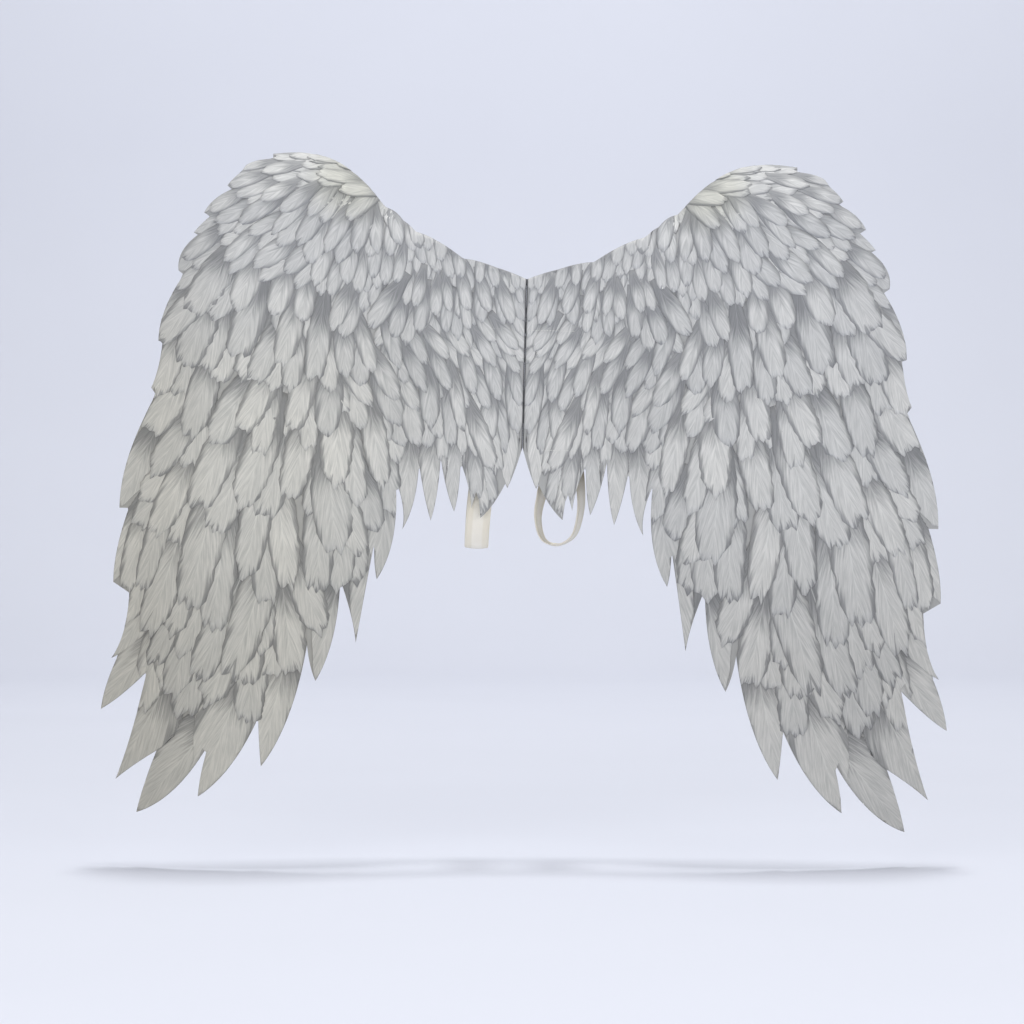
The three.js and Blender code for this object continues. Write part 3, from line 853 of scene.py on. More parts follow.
def feather_tree():
    """Blades stood on their points, clipped to the cut outline and laid on the curved felt."""
    inputs = {"Tips": "Geometry", "Blades": "Collection", "Felt": "Object", "Cut Line": "Object"}
    inputs |= {"Root Lift": "Float", "Crown": "Float", "Wall Depth": "Float", "Web": "Float"}
    tree, given = new_tree("printed_feathers", inputs | {"Print": "Material"}, "Feathers")
    read = {
        name: add(tree, "GeometryNodeInputNamedAttribute", {"Name": name})
        for name in ("turn", "long", "wide", "lift", "rise", "across", "along")
    }
    index = add(tree, "GeometryNodeInputNamedAttribute", {"Name": "blade"}, data_type="INT")
    picked = {"Collection": given["Blades"], "Separate Children": True, "Reset Children": True}
    blades = add(tree, "GeometryNodeCollectionInfo", picked)
    stood = add(
        tree,
        "GeometryNodeInstanceOnPoints",
        {
            "Points": given["Tips"],
            "Instance": blades,
            "Pick Instance": True,
            "Instance Index": index,
            "Rotation": add(tree, "ShaderNodeCombineXYZ", {"Y": read["turn"]}),
            "Scale": add(tree, "ShaderNodeCombineXYZ", {"X": read["wide"], "Y": 1.0, "Z": read["long"]}),
        },
    )
    loose = add(tree, "GeometryNodeRealizeInstances", {"Geometry": stood})

    # A face that lies wholly off the felt goes. A corner that hangs over the cut is drawn back onto it.
    felt = add(tree, "GeometryNodeObjectInfo", {"Object": given["Felt"]}, 4)
    line = add(tree, "GeometryNodeObjectInfo", {"Object": given["Cut Line"]}, 4)
    here = add(tree, "GeometryNodeInputPosition")
    ahead = add(tree, "ShaderNodeVectorMath", {0: here, 1: (0, -0.4, 0)}, operation="ADD")
    ray = {"Target Geometry": felt, "Source Position": ahead, "Ray Direction": (0, 1, 0), "Ray Length": 1.0}
    on_felt = add(tree, "GeometryNodeRaycast", ray)
    corners = add(tree, "GeometryNodeFieldOnDomain", {0: on_felt}, domain="POINT", data_type="FLOAT")
    wholly_off = add(tree, "ShaderNodeMath", {0: corners, 1: 0.01}, operation="LESS_THAN")
    off = {"Geometry": loose, "Selection": wholly_off}
    trimmed = add(tree, "GeometryNodeDeleteGeometry", off, domain="FACE")
    to_line = {"Geometry": line, "Sample Position": here}
    nearest = add(tree, "GeometryNodeProximity", to_line, target_element="EDGES")
    kept = add(tree, "GeometryNodeSwitch", {0: on_felt, 1: nearest, 2: here}, input_type="VECTOR")
    clipped = add(tree, "GeometryNodeSetPosition", {"Geometry": trimmed, "Position": kept})
    doubled = {"Geometry": clipped, "Distance": 0.0002}
    merged = add(tree, "GeometryNodeMergeByDistance", doubled, mode="CONNECTED")

    # A face that still spans the open air of a notch goes too.
    onto = add(tree, "GeometryNodeRaycast", ray).node.outputs
    off_felt = add(tree, "ShaderNodeMath", {0: 1.0, 1: onto["Is Hit"]}, operation="SUBTRACT")
    gap = {0: nearest.node.outputs["Distance"], 1: given["Web"]}
    apart = add(tree, "ShaderNodeMath", gap, operation="GREATER_THAN")
    bridging = add(tree, "ShaderNodeMath", {0: off_felt, 1: apart}, operation="MULTIPLY")
    sides = add(tree, "GeometryNodeFieldOnDomain", {0: bridging}, domain="EDGE", data_type="FLOAT")
    web = add(tree, "ShaderNodeMath", {0: off_felt, 1: sides}, operation="MAXIMUM")
    web = add(tree, "ShaderNodeMath", {0: web, 1: 0.01}, operation="GREATER_THAN")
    webbed = {"Geometry": merged, "Selection": web}
    merged = add(tree, "GeometryNodeDeleteGeometry", webbed, domain="FACE")

    # What is left is laid on the curved felt, rising from the root to the tip and crowned across.
    square = add(tree, "ShaderNodeMath", {0: read["across"], 1: read["across"]}, operation="MULTIPLY")
    crown = add(tree, "ShaderNodeMath", {0: square, 1: given["Crown"]}, operation="MULTIPLY")
    rising = add(tree, "ShaderNodeMath", {0: read["rise"], 1: crown}, operation="SUBTRACT")
    root = add(tree, "ShaderNodeMath", {0: read["lift"], 1: given["Root Lift"]}, operation="ADD")
    lift = add(tree, "ShaderNodeMath", {0: rising, 1: read["along"], 2: root}, operation="MULTIPLY_ADD")
    lifted = {0: onto["Hit Normal"], "Scale": lift}
    outwards = add(tree, "ShaderNodeVectorMath", lifted, operation="SCALE")
    final = add(tree, "ShaderNodeVectorMath", {0: onto["Hit Position"], 1: outwards}, operation="ADD")
    moved = {"Geometry": merged, "Selection": onto["Is Hit"], "Position": final}
    laid = add(tree, "GeometryNodeSetPosition", moved)
    smooth = add(tree, "GeometryNodeSetShadeSmooth", {"Geometry": laid, "Shade Smooth": True})

    # The blade's edge goes straight down into the felt.
    sharing = add(tree, "GeometryNodeInputMeshEdgeNeighbors")
    outer = add(tree, "ShaderNodeMath", {0: sharing, 1: 1.5}, operation="LESS_THAN")
    down = add(tree, "ShaderNodeCombineXYZ", {"Y": given["Wall Depth"]})
    wall = {"Mesh": smooth, "Selection": outer, "Offset": down, "Offset Scale": 1.0}
    walled = add(tree, "GeometryNodeExtrudeMesh", wall, mode="EDGES")
    flat = {"Geometry": walled, "Selection": walled.node.outputs["Side"], "Shade Smooth": False}
    crisp = add(tree, "GeometryNodeSetShadeSmooth", flat)
    done = add(tree, "GeometryNodeSetMaterial", {"Geometry": crisp, "Material": given["Print"]})
    add(tree, "NodeGroupOutput", {"Feathers": done})
    return tree


def grown(piece, tree, settings, name):
    """The plain mesh that a geometry tree makes of a piece. Its inputs are set before it is evaluated."""
    modifier = piece.modifiers.new("grown", "NODES")
    modifier.node_group = tree
    for item in tree.interface.items_tree:
        if item.in_out == "INPUT" and item.name in settings:
            modifier[item.identifier] = settings[item.name]
    piece.update_tag()
    bpy.context.view_layer.update()
    evaluated = piece.evaluated_get(bpy.context.evaluated_depsgraph_get())
    mesh = bpy.data.meshes.new_from_object(evaluated)
    piece.modifiers.remove(modifier)
    made = bpy.data.objects.new(name, mesh)
    bpy.context.scene.collection.objects.link(made)
    return made


def print_material():
    """Transfer print of a feather on felt: matt, a grey root, a pale tip, barbs, a soft dark outline."""
    material, tree = new_material("transfer_printed_feather")
    across, along, wide, long, tone, seed, reach, frayed = (
        add(tree, "ShaderNodeAttribute", output=2, attribute_name=name)
        for name in ("across", "along", "wide", "long", "tone", "seed", "reach", "frayed")
    )
    aside = add(tree, "ShaderNodeMath", {0: across}, operation="ABSOLUTE")
    out = add(tree, "ShaderNodeMath", {0: aside, 1: wide}, operation="MULTIPLY")
    out = add(tree, "ShaderNodeMath", {0: out, 1: 0.5}, operation="MULTIPLY")
    down = add(tree, "ShaderNodeMath", {0: along, 1: long}, operation="MULTIPLY")

    # Barbs leave the shaft at a narrow angle. They are 0.3 mm apart on a real feather and are drawn 2 mm
    # apart, as the print draws them. Clumps of them end unevenly and fray the feather's outline.
    lean = math.radians(15)
    turned = []
    for of_out, of_down in ((math.cos(lean), -math.sin(lean)), (math.sin(lean), math.cos(lean))):
        share = add(tree, "ShaderNodeMath", {0: down, 1: of_down}, operation="MULTIPLY")
        turned.append(add(tree, "ShaderNodeMath", {0: out, 1: of_out, 2: share}, operation="MULTIPLY_ADD"))
    left = add(tree, "ShaderNodeMath", {0: across, 1: 0.0}, operation="GREATER_THAN")
    own = add(tree, "ShaderNodeMath", {0: seed, 1: 60.0, 2: left}, operation="MULTIPLY_ADD")
    fine = add(tree, "ShaderNodeMath", {0: turned[0], 1: 560.0}, operation="MULTIPLY")
    slow = add(tree, "ShaderNodeMath", {0: turned[1], 1: 34.0}, operation="MULTIPLY")
    barb_place = add(tree, "ShaderNodeCombineXYZ", {0: fine, 1: slow, 2: own})
    drawn = {"Vector": barb_place, "Scale": 1.0, "Detail": 3.0, "Roughness": 0.62}
    barbs = add(tree, "ShaderNodeTexNoise", drawn)
    clumps = add(tree, "ShaderNodeTexNoise", {"Vector": barb_place, "Scale": 0.36, "Detail": 1.0})
    ragged = add(tree, "ShaderNodeMath", {0: barbs, 1: 0.5}, operation="SUBTRACT")
    clumped = add(tree, "ShaderNodeMath", {0: clumps, 1: 0.5}, operation="SUBTRACT")

    # The root is the ground's grey and the body is pale, with a ragged change between. A long feather's body
    # is pale right to its frayed outline, and a short one's fades towards it.
    size = add(tree, "ShaderNodeMapRange", {0: long, 1: 0.07, 2: 0.13, 3: 0.0, 4: 1.0})
    root_from, root_end, fade_from, fade_to = (
        add(tree, "ShaderNodeMapRange", {0: size, 1: 0.0, 2: 1.0, 3: on_short, 4: on_long})
        for on_short, on_long in ((0.28, 0.27), (0.64, 0.58), (0.46, 0.68), (1.0, 0.92))
    )
    height = add(tree, "ShaderNodeMath", {0: ragged, 1: 0.2, 2: along}, operation="MULTIPLY_ADD")
    light = eased(tree, height, root_from, root_end, 0.0, 1.0)
    rim = add(tree, "ShaderNodeMath", {0: ragged, 1: 0.3, 2: aside}, operation="MULTIPLY_ADD")
    rim = add(tree, "ShaderNodeMath", {0: clumped, 1: 0.9, 2: rim}, operation="MULTIPLY_ADD")
    side = eased(tree, rim, fade_from, fade_to, 0.0, 0.85)

    # The end of the feather is torn along its barbs, except where the cut edge trims it.
    torn = add(tree, "ShaderNodeMath", {0: ragged, 1: 0.35, 2: reach}, operation="MULTIPLY_ADD")
    torn = add(tree, "ShaderNodeMath", {0: clumped, 1: 0.5, 2: torn}, operation="MULTIPLY_ADD")
    split = eased(tree, torn, 0.97, 1.03, 0.0, 0.85)
    split = add(tree, "ShaderNodeMath", {0: split, 1: frayed}, operation="MULTIPLY")
    side = add(tree, "ShaderNodeMath", {0: side, 1: split}, operation="MAXIMUM")
    pale = add(tree, "ShaderNodeMath", {0: 1.0, 1: side}, operation="SUBTRACT")
    pale = add(tree, "ShaderNodeMath", {0: pale, 1: light}, operation="MULTIPLY")
    between_them = {0: size, 6: paint("#A2A3A5"), 7: paint("#959698")}
    gap = add(tree, "ShaderNodeMix", between_them, 2, data_type="RGBA")
    colour = add(tree, "ShaderNodeMix", {0: pale, 6: gap, 7: paint("#D8D8D7")}, 2, data_type="RGBA")

    # Fine lighter and darker barbs over all of it, and a tone of its own for each feather.
    streak = add(tree, "ShaderNodeMapRange", {0: barbs, 1: 0.3, 2: 0.7, 3: 0.0, 4: 1.0})
    for share, darker, strength in ((streak, "#CFD1D2", 0.85), (tone, "#EDEEF0", 0.8)):
        tones = {0: share, 6: paint(darker), 7: paint("#FFFFFF")}
        shading = add(tree, "ShaderNodeMix", tones, 2, data_type="RGBA")
        colour = tinted(tree, colour, strength, shading)

    # A pale shaft on the longer feathers.
    on_shaft = add(tree, "ShaderNodeMapRange", {0: out, 1: 0.0004, 2: 0.0012, 3: 1.0, 4: 0.0})
    grown_long = add(tree, "ShaderNodeMapRange", {0: long, 1: 0.1, 2: 0.2, 3: 0.0, 4: 0.4})
    fading = add(tree, "ShaderNodeMapRange", {0: along, 1: 0.6, 2: 0.9, 3: 1.0, 4: 0.0})
    shaft = add(tree, "ShaderNodeMath", {0: on_shaft, 1: grown_long}, operation="MULTIPLY")
    shaft = add(tree, "ShaderNodeMath", {0: shaft, 1: fading}, operation="MULTIPLY")
    colour = add(tree, "ShaderNodeMix", {0: shaft, 6: colour, 7: paint("#DDDFDE")}, 2, data_type="RGBA")

    where = add(tree, "ShaderNodeTexCoord", output=3)
    fuzz = add(tree, "ShaderNodeTexNoise", {"Vector": where, "Scale": 900.0, "Detail": 4.0, "Roughness": 0.7})
    relief = add(tree, "ShaderNodeMath", {0: barbs, 1: 0.6, 2: fuzz}, operation="MULTIPLY_ADD")
    grain = add(tree, "ShaderNodeBump", {"Strength": 0.3, "Distance": 0.0004, "Height": relief})
    finish_material(tree, tints_and_painted_light(tree, colour), 0.86, grain, Sheen_Weight=0.06, Sheen_Roughness=0.6)
    return material


blade_chance = random.Random(5)
blade_box = bpy.data.collections.new("blades")
bpy.context.scene.collection.children.link(blade_box)
for kind in BLADE_KINDS.values():
    for _ in range(kind["count"]):
        blade = make_blade(f"blade_{len(blade_box.objects):02d}", blade_chance, kind)
        bpy.context.scene.collection.objects.unlink(blade)
        blade_box.objects.link(blade)

material_print = print_material()
feathering = feather_tree()
places = feather_places()
for wing in WINGS:
    name, side, spread = wing["name"], wing["side"], wing["spread"]
    tips = make_places(f"{name}_tips", side, spread, places)
    rim_line = make_rim_line(f"{name}_rim_line", side, spread * HALF_SPAN)
    settings = {
        "Blades": blade_box,
        "Felt": panels[name],
        "Cut Line": rim_line,
        "Root Lift": ROOT_LIFT * MM,
        "Crown": CROWN * MM,
        "Wall Depth": WALL_DEPTH * MM,
        "Web": WEB * MM,
        "Print": material_print,
    }
    feathers = grown(tips, feathering, settings, f"{name}_feathers")
    prints[name] = feathers
    bpy.data.objects.remove(tips)
    bpy.data.objects.remove(rim_line)
    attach(panels[name], "root")
    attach(feathers, "root")
    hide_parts(name)
for blade in list(blade_box.objects):
    bpy.data.objects.remove(blade)
bpy.data.collections.remove(blade_box)

# The two arm loops
# Flat woven elastic, 30 mm wide, with a rubber core in each of its lengthwise ribs. Both ends lie flat behind
# the panel, one above the other, and are sewn through the felt. The right one hangs twisted edge-on.
STRAP_WIDTH = 30
STRAP_THICKNESS = 1.5
STRAP_FROM_SEAM = 17
STRAP_STEP = 13
STRAP_SEWN = 25
STRAP_TOP = 57
STRAP_FOOT = 90
STRAP_HANG = 224
CLEARANCE = 0.3
STRAP_STEPS = 170
SELVEDGE = 0.7  # how far in the rounded edge of the elastic reaches
STRAP_CREASE = 50
RIB_PITCH = 1.4
WEFT_PITCH = 0.9
CUP_RISE = 3.2  # how far the elastic's edges ride up where it runs across the foot of its loop
CUP_NARROW = 0.08  # how much narrower it is drawn there
STRAP_Y = PANEL_BACK + CLEARANCE + STRAP_THICKNESS / 2
STRAP_UPPER_X = STRAP_FROM_SEAM + STRAP_WIDTH / 2
STRAP_LOWER_X = STRAP_UPPER_X + STRAP_STEP

# Out from the seam, behind the panel, down, and turn of the width, from the upper sewn end to the lower one.
STRAP_ROUTES = {
    "left_strap": (
        (1.06, 0.3, 0.2, 0),
        (1.28, 0.9, 0.42, 0),
        (1.52, 1.34, 0.66, 0),
        (1.66, 1.54, 0.84, 0),
        (1.69, 1.34, 0.96, 0),
        (1.69, 0.86, 1.01, 0),
        (1.68, 0.38, 0.955, 0),
        (1.64, 0.16, 0.87, 0),
        (1.56, 0.08, 0.76, 0),
    ),
    "right_strap": (
        (1.12, 0.2, 0.2, 8),
        (1.5, 0.42, 0.38, 30),
        (2.0, 0.5, 0.56, 55),
        (2.3, 0.44, 0.72, 68),
        (2.32, 0.4, 0.845, 74),
        (2.04, 0.38, 0.95, 78),
        (1.45, 0.38, 0.99, 82),
        (0.94, 0.36, 0.965, 78),
        (0.68, 0.32, 0.875, 74),
        (0.8, 0.34, 0.77, 66),
        (1.14, 0.26, 0.68, 34),
    ),
}


def strap_route(side, rows):
    """The points that a loop runs through and its turn at each, as two arrays."""
    fall = STRAP_TOP + STRAP_HANG
    points = [
        (STRAP_UPPER_X, STRAP_Y, STRAP_TOP, 0),
        (STRAP_UPPER_X, STRAP_Y, STRAP_TOP - STRAP_SEWN, 0),
    ]
    for out, behind, down, turn in rows:
        turned = math.radians(turn)
        y = STRAP_Y + behind * STRAP_WIDTH + STRAP_WIDTH / 2 * math.sin(turned)
        points.append((out * STRAP_UPPER_X, y, STRAP_TOP - down * fall, turned))
    points.append((STRAP_LOWER_X, STRAP_Y, -STRAP_FOOT - STRAP_SEWN, 0))
    points.append((STRAP_LOWER_X, STRAP_Y, -STRAP_FOOT, 0))
    points = np.array(points, float)
    points[:, 0] *= side
    return points[:, :3], points[:, 3]


def on_route(points, share):
    """The point at a share of the way along the smooth line through the points."""
    along = min(max(share, 0.0), 1.0) * (len(points) - 1)
    i = min(int(along), len(points) - 2)
    t = along - i
    start, end = points[i], points[i + 1]
    before = points[i - 1] if i > 0 else 2 * points[0] - points[1]
    after = points[i + 2] if i + 2 < len(points) else 2 * points[-1] - points[-2]
    gap = [math.sqrt(np.linalg.norm(b - a)) for a, b in ((before, start), (start, end), (end, after))]
    leave = (start - before) / gap[0] - (end - before) / (gap[0] + gap[1]) + (end - start) / gap[1]
    arrive = (end - start) / gap[1] - (after - start) / (gap[1] + gap[2]) + (after - end) / gap[2]
    return between(t, start, leave * gap[1], end, arrive * gap[1])


def make_strap(name, side, rows):
    """A ribbon with rounded selvedges, bent and twisted along its route, closed at both cut ends."""
    route, turns = strap_route(side, rows)
    half, thin = STRAP_WIDTH / 2, STRAP_THICKNESS / 2
    flat = np.linspace(-half + SELVEDGE, half - SELVEDGE, 9)
    profile = [(-half, 0.0), *[(x, thin) for x in flat], (half, 0.0), *[(x, -thin) for x in flat[::-1]]]
    points, across_label, along_label = [], [], []
    length = 0.0
    before = None
    for step in range(STRAP_STEPS + 1):
        share = step / STRAP_STEPS
        tangent = on_route(route, share + 1e-4) - on_route(route, share - 1e-4)
        tangent /= np.linalg.norm(tangent)
        turn = np.interp(share * (len(route) - 1), range(len(route)), turns)
        across = np.array([math.cos(turn), side * math.sin(turn), 0.0])
        across -= across @ tangent * tangent
        across /= np.linalg.norm(across)
        through = np.cross(tangent, across)
        middle = on_route(route, share)
        middle[1] = max(middle[1], STRAP_Y + half * abs(across[1]))
        length += 0.0 if before is None else float(np.linalg.norm(middle - before))
        before = middle
        cup = (1 - abs(tangent[2])) ** 2
        for a, b in profile:
            rise = np.array([0.0, 0.0, CUP_RISE * cup * abs(a / half) ** 3])
            points.append(middle + a * (1 - CUP_NARROW * cup) * across + b * through + rise)
            across_label.append(a)
            along_label.append(length)
    count = len(profile)
    faces = [
        (i * count + k, i * count + (k + 1) % count, (i + 1) * count + (k + 1) % count, (i + 1) * count + k)
        for i in range(STRAP_STEPS)
        for k in range(count)
    ]
    faces.append(tuple(reversed(range(count))))
    faces.append(tuple(range(STRAP_STEPS * count, (STRAP_STEPS + 1) * count)))
    strap = new_piece(f"{name}_elastic", points, faces)
    for label, values in (("across", across_label), ("along", along_label)):
        strap.data.attributes.new(label, "FLOAT", "POINT").data.foreach_set("value", values)
    shade(strap, STRAP_CREASE)
    return strap


# Woven elastic: cream polyester over rubber cores, matt with a faint sheen. Its ribs are 1.4 mm apart and its
# cross threads 0.9 mm, each rib's half a thread behind its neighbour's.
material_elastic, tree = new_material("woven_elastic_webbing")
across = add(tree, "ShaderNodeAttribute", output=2, attribute_name="across")
along = add(tree, "ShaderNodeAttribute", output=2, attribute_name="along")
where = add(tree, "ShaderNodeTexCoord", output=3)
rib = add(tree, "ShaderNodeMath", {0: across, 1: 2 * math.pi / RIB_PITCH}, operation="MULTIPLY")
rib = add(tree, "ShaderNodeMath", {0: rib}, operation="SINE")
half_step = add(tree, "ShaderNodeMath", {0: rib, 1: 1.5}, operation="MULTIPLY")
weft = {0: along, 1: 2 * math.pi / WEFT_PITCH, 2: half_step}
weft = add(tree, "ShaderNodeMath", weft, operation="MULTIPLY_ADD")
weft = add(tree, "ShaderNodeMath", {0: weft}, operation="SINE")
weave = add(tree, "ShaderNodeMath", {0: weft, 1: 0.45, 2: rib}, operation="MULTIPLY_ADD")
handled = add(tree, "ShaderNodeTexNoise", {"Vector": where, "Scale": 40.0, "Detail": 3.0})
lint = add(tree, "ShaderNodeTexNoise", {"Vector": where, "Scale": 1500.0, "Detail": 3.0})
dipped = add(tree, "ShaderNodeMapRange", {0: weave, 1: -1.4, 2: 0.2, 3: 0.5, 4: 0.0})
cream = {0: handled, 6: paint("#EAE5D9"), 7: paint("#F5F1E7")}
cream = add(tree, "ShaderNodeMix", cream, 2, data_type="RGBA")
cream = add(tree, "ShaderNodeMix", {0: dipped, 6: cream, 7: paint("#C9C4B6")}, 2, data_type="RGBA")
aside = add(tree, "ShaderNodeMath", {0: across}, operation="ABSOLUTE")
cream = tinted(tree, cream, eased(tree, aside, 5.0, 8.0, 0.0, 0.6), "#F1EEE6")
edging = add(tree, "ShaderNodeMapRange", {0: aside, 1: 12.6, 2: 14.6, 3: 0.0, 4: 0.35})
cream = add(tree, "ShaderNodeMix", {0: edging, 6: cream, 7: paint("#D5CFC0")}, 2, data_type="RGBA")

# Painted shade: the faces that look towards the felt are darkened high up in the loop, where the panel shades
# them, most of all on its hanging leg.
facing = add(tree, "ShaderNodeSeparateXYZ", {0: add(tree, "ShaderNodeNewGeometry", output=1)}, 1)
to_felt = eased(tree, facing, 0.1, -0.2, 0.0, 1.0)
high_up = add(tree, "ShaderNodeSeparateXYZ", {0: where}, 2)
leg = eased(tree, along, 190.0, 230.0, 1.0, 0.0)
on_leg = eased(tree, high_up, -0.2, -0.14, 0.0, 1.0)
on_leg = add(tree, "ShaderNodeMath", {0: on_leg, 1: leg}, operation="MULTIPLY")
all_round = eased(tree, high_up, -0.165, -0.14, 0.0, 0.6)
strap_painted_shade = add(tree, "ShaderNodeMath", {0: on_leg, 1: all_round}, operation="MAXIMUM")
strap_painted_shade = add(tree, "ShaderNodeMath", {0: strap_painted_shade, 1: to_felt}, operation="MULTIPLY")
# Painted shade on the elastic's side that faces the felt.
cream = tinted(tree, cream, strap_painted_shade, "#8F8879")
height = add(tree, "ShaderNodeMath", {0: lint, 1: 0.3, 2: weave}, operation="MULTIPLY_ADD")
weave_bump = add(tree, "ShaderNodeBump", {"Strength": 0.6, "Distance": 0.00022, "Height": height})
finish_material(tree, cream, 0.74, weave_bump, Sheen_Weight=0.12, Sheen_Roughness=0.4)

straps = {}
for name, rows in STRAP_ROUTES.items():
    strap = make_strap(name, -1 if name.startswith("left") else 1, rows)
    strap.data.materials.append(material_elastic)
    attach(strap, "root")
    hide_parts(name)
    straps[name] = strap

# The sewing
# White polyester thread: a running stitch through the felt and each sewn end of the elastic, seen on both
# sides, and whip stitches over the two turned-back edges, which hold the wings together down the seam.
STITCH_PITCH = 3.4
STITCH_LENGTH = 2.6
STITCH_WIDTH = 0.6
STITCH_SUNK = 0.1
STITCH_DIP = 0.12  # how far a stitch's ends dip
THREAD_SIDES = 8
LAID_FROM_Y = -200  # the front stitches are laid on the print from in front of it
SEWN_FROM_Y = -4  # the back ones from between a sewn end and the part of its loop that hangs behind it
WHIP_PITCH = 5.5
WHIP_REACH = 3.4  # half the width of a whip stitch, over both edges
WHIP_DEPTH = 2.6
WHIP_SLANT = 1.6
WHIP_UNEVEN = math.radians(5)
SEAM_FROM = -96
SEAM_TO = 103

# Each running stitch: which wing, its inner and outer end from the seam, and its height.
STITCH_ROWS = (
    ("left_wing", 3, 49, 46),
    ("left_wing", 27, 64, -103),
    ("right_wing", 6, 59, 45),
    ("right_wing", 25, 66, -103),
)


def make_thread(name, path, radius_y, radius_z, taper):
    """A piece of thread along a path in millimetres, drawn in at both ends by the taper and closed."""
    path = [np.array(p, float) for p in path]
    points, faces = [], []
    for i, middle in enumerate(path):
        ahead = path[min(i + 1, len(path) - 1)] - path[max(i - 1, 0)]
        ahead = ahead / np.linalg.norm(ahead)
        up = np.array([0.0, 0.0, 1.0])
        up = up - up @ ahead * ahead
        up = up / np.linalg.norm(up)
        beside = np.cross(ahead, up)
        size = taper if i in (0, len(path) - 1) else 1.0
        for k in range(THREAD_SIDES):
            a = 2 * math.pi * k / THREAD_SIDES
            points.append(middle + size * (radius_y * math.cos(a) * beside + radius_z * math.sin(a) * up))
    rings = np.arange(len(points)).reshape(-1, THREAD_SIDES)
    for ring, further in zip(rings, rings[1:]):
        faces += zip(ring, np.roll(ring, -1), np.roll(further, -1), further)
    return new_piece(name, points, [*faces, rings[0][::-1], rings[-1]])


def stand_stitches(tree, given, points, rotation):
    """The end of both sewing trees: a stitch stood on each point, all as one mesh of thread."""
    thread = add(tree, "GeometryNodeObjectInfo", {"Object": given["Stitch"], "As Instance": True}, 4)
    placed = {"Points": points, "Instance": thread, "Rotation": rotation}
    stood = add(tree, "GeometryNodeInstanceOnPoints", placed)
    loose = add(tree, "GeometryNodeRealizeInstances", {"Geometry": stood})
    smooth = add(tree, "GeometryNodeSetShadeSmooth", {"Geometry": loose, "Shade Smooth": True})
    done = add(tree, "GeometryNodeSetMaterial", {"Geometry": smooth, "Material": given["Thread"]})
    add(tree, "NodeGroupOutput", {"Stitches": done})
    return tree


def sewing_tree():
    """Stitches spaced along the lines given, each laid on the pieces it is sewn through."""
    inputs = {"Lines": "Geometry", "Stitch": "Object", "Felt": "Object", "Over It": "Object"}
    inputs |= {"Pitch": "Float", "Sunk": "Float", "Towards": "Vector", "Thread": "Material"}
    tree, given = new_tree("running_stitch", inputs, "Stitches")
    curve = add(tree, "GeometryNodeMeshToCurve", {"Mesh": given["Lines"]})
    pitch = {"Curve": curve, "Length": given["Pitch"]}
    spaced = add(tree, "GeometryNodeCurveToPoints", pitch, mode="LENGTH")
    felt = add(tree, "GeometryNodeObjectInfo", {"Object": given["Felt"]}, 4)
    over_it = add(tree, "GeometryNodeObjectInfo", {"Object": given["Over It"]}, 4)
    sewn = add(tree, "GeometryNodeJoinGeometry", {"Geometry": felt})
    tree.links.new(over_it, sewn.node.inputs[0])
    here = add(tree, "GeometryNodeInputPosition")
    ray = {"Target Geometry": sewn, "Source Position": here}
    ray |= {"Ray Direction": given["Towards"], "Ray Length": 1.0}
    onto = add(tree, "GeometryNodeRaycast", ray).node.outputs
    sunk = {0: given["Towards"], "Scale": given["Sunk"]}
    sunk = add(tree, "ShaderNodeVectorMath", sunk, operation="SCALE")
    place_on = add(tree, "ShaderNodeVectorMath", {0: onto["Hit Position"], 1: sunk}, operation="ADD")
    laid = add(tree, "GeometryNodeSetPosition", {"Geometry": spaced, "Position": place_on})
    run = {"Vector": spaced.node.outputs["Tangent"]}
    aligned = add(tree, "FunctionNodeAlignRotationToVector", run, axis="X")
    return stand_stitches(tree, given, laid, aligned)


# Spun polyester thread: off-white, with the twist of its plies drawn 1 mm apart and a slight gloss.
material_thread, tree = new_material("spun_polyester_thread")
where = add(tree, "ShaderNodeTexCoord", output=3)
slanted = add(tree, "ShaderNodeMapping", {"Vector": where, "Rotation": (0.0, math.radians(38), 0.0)})
plies = {"Vector": slanted, "Scale": 320.0, "Distortion": 1.5, "Detail": 1.0}
twist = add(tree, "ShaderNodeTexWave", plies).node.outputs["Fac"]
speck = add(tree, "ShaderNodeTexNoise", {"Vector": where, "Scale": 600.0, "Detail": 2.0})
ply = add(tree, "ShaderNodeMath", {0: twist, 1: speck}, operation="MULTIPLY")
white = add(tree, "ShaderNodeMix", {0: ply, 6: paint("#C4C4BF"), 7: paint("#F0F0EC")}, 2, data_type="RGBA")
twist_bump = add(tree, "ShaderNodeBump", {"Strength": 0.5, "Distance": 0.0002, "Height": twist})
finish_material(tree, white, 0.6, twist_bump, Sheen_Weight=0.1)

half = STITCH_LENGTH / 2
stitch_path = [(x * half, STITCH_DIP * (x * x - 1), 0) for x in (-1, -0.75, -0.3, 0.3, 0.75, 1)]
stitch = make_thread("stitch", stitch_path, STITCH_WIDTH / 3, STITCH_WIDTH / 2, taper=0.35)
sewing = sewing_tree()
for wing in WINGS:
    name, side = wing["name"], wing["side"]
    lines = [row for row in STITCH_ROWS if row[0] == name]
    strap_name = name.replace("wing", "strap")
    for face, start_y, towards, over_it in (
        ("front", LAID_FROM_Y, 1.0, prints[name]),
        ("back", SEWN_FROM_Y, -1.0, straps[strap_name]),
    ):
        ends = [(side * x, start_y, z) for _, inner, outer, z in lines for x in (inner, outer)]
        line = new_piece("lines", ends, [], [(0, 1), (2, 3)])
        settings = {
            "Stitch": stitch,
            "Felt": panels[name],
            "Over It": over_it,
            "Pitch": STITCH_PITCH * MM,
            "Sunk": STITCH_SUNK * MM,
            "Towards": (0.0, towards, 0.0),
            "Thread": material_thread,
        }
        sewn_rows = grown(line, sewing, settings, f"{strap_name}_stitches_{face}")
        bpy.data.objects.remove(line)
        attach(sewn_rows, "root")
bpy.data.objects.remove(stitch)


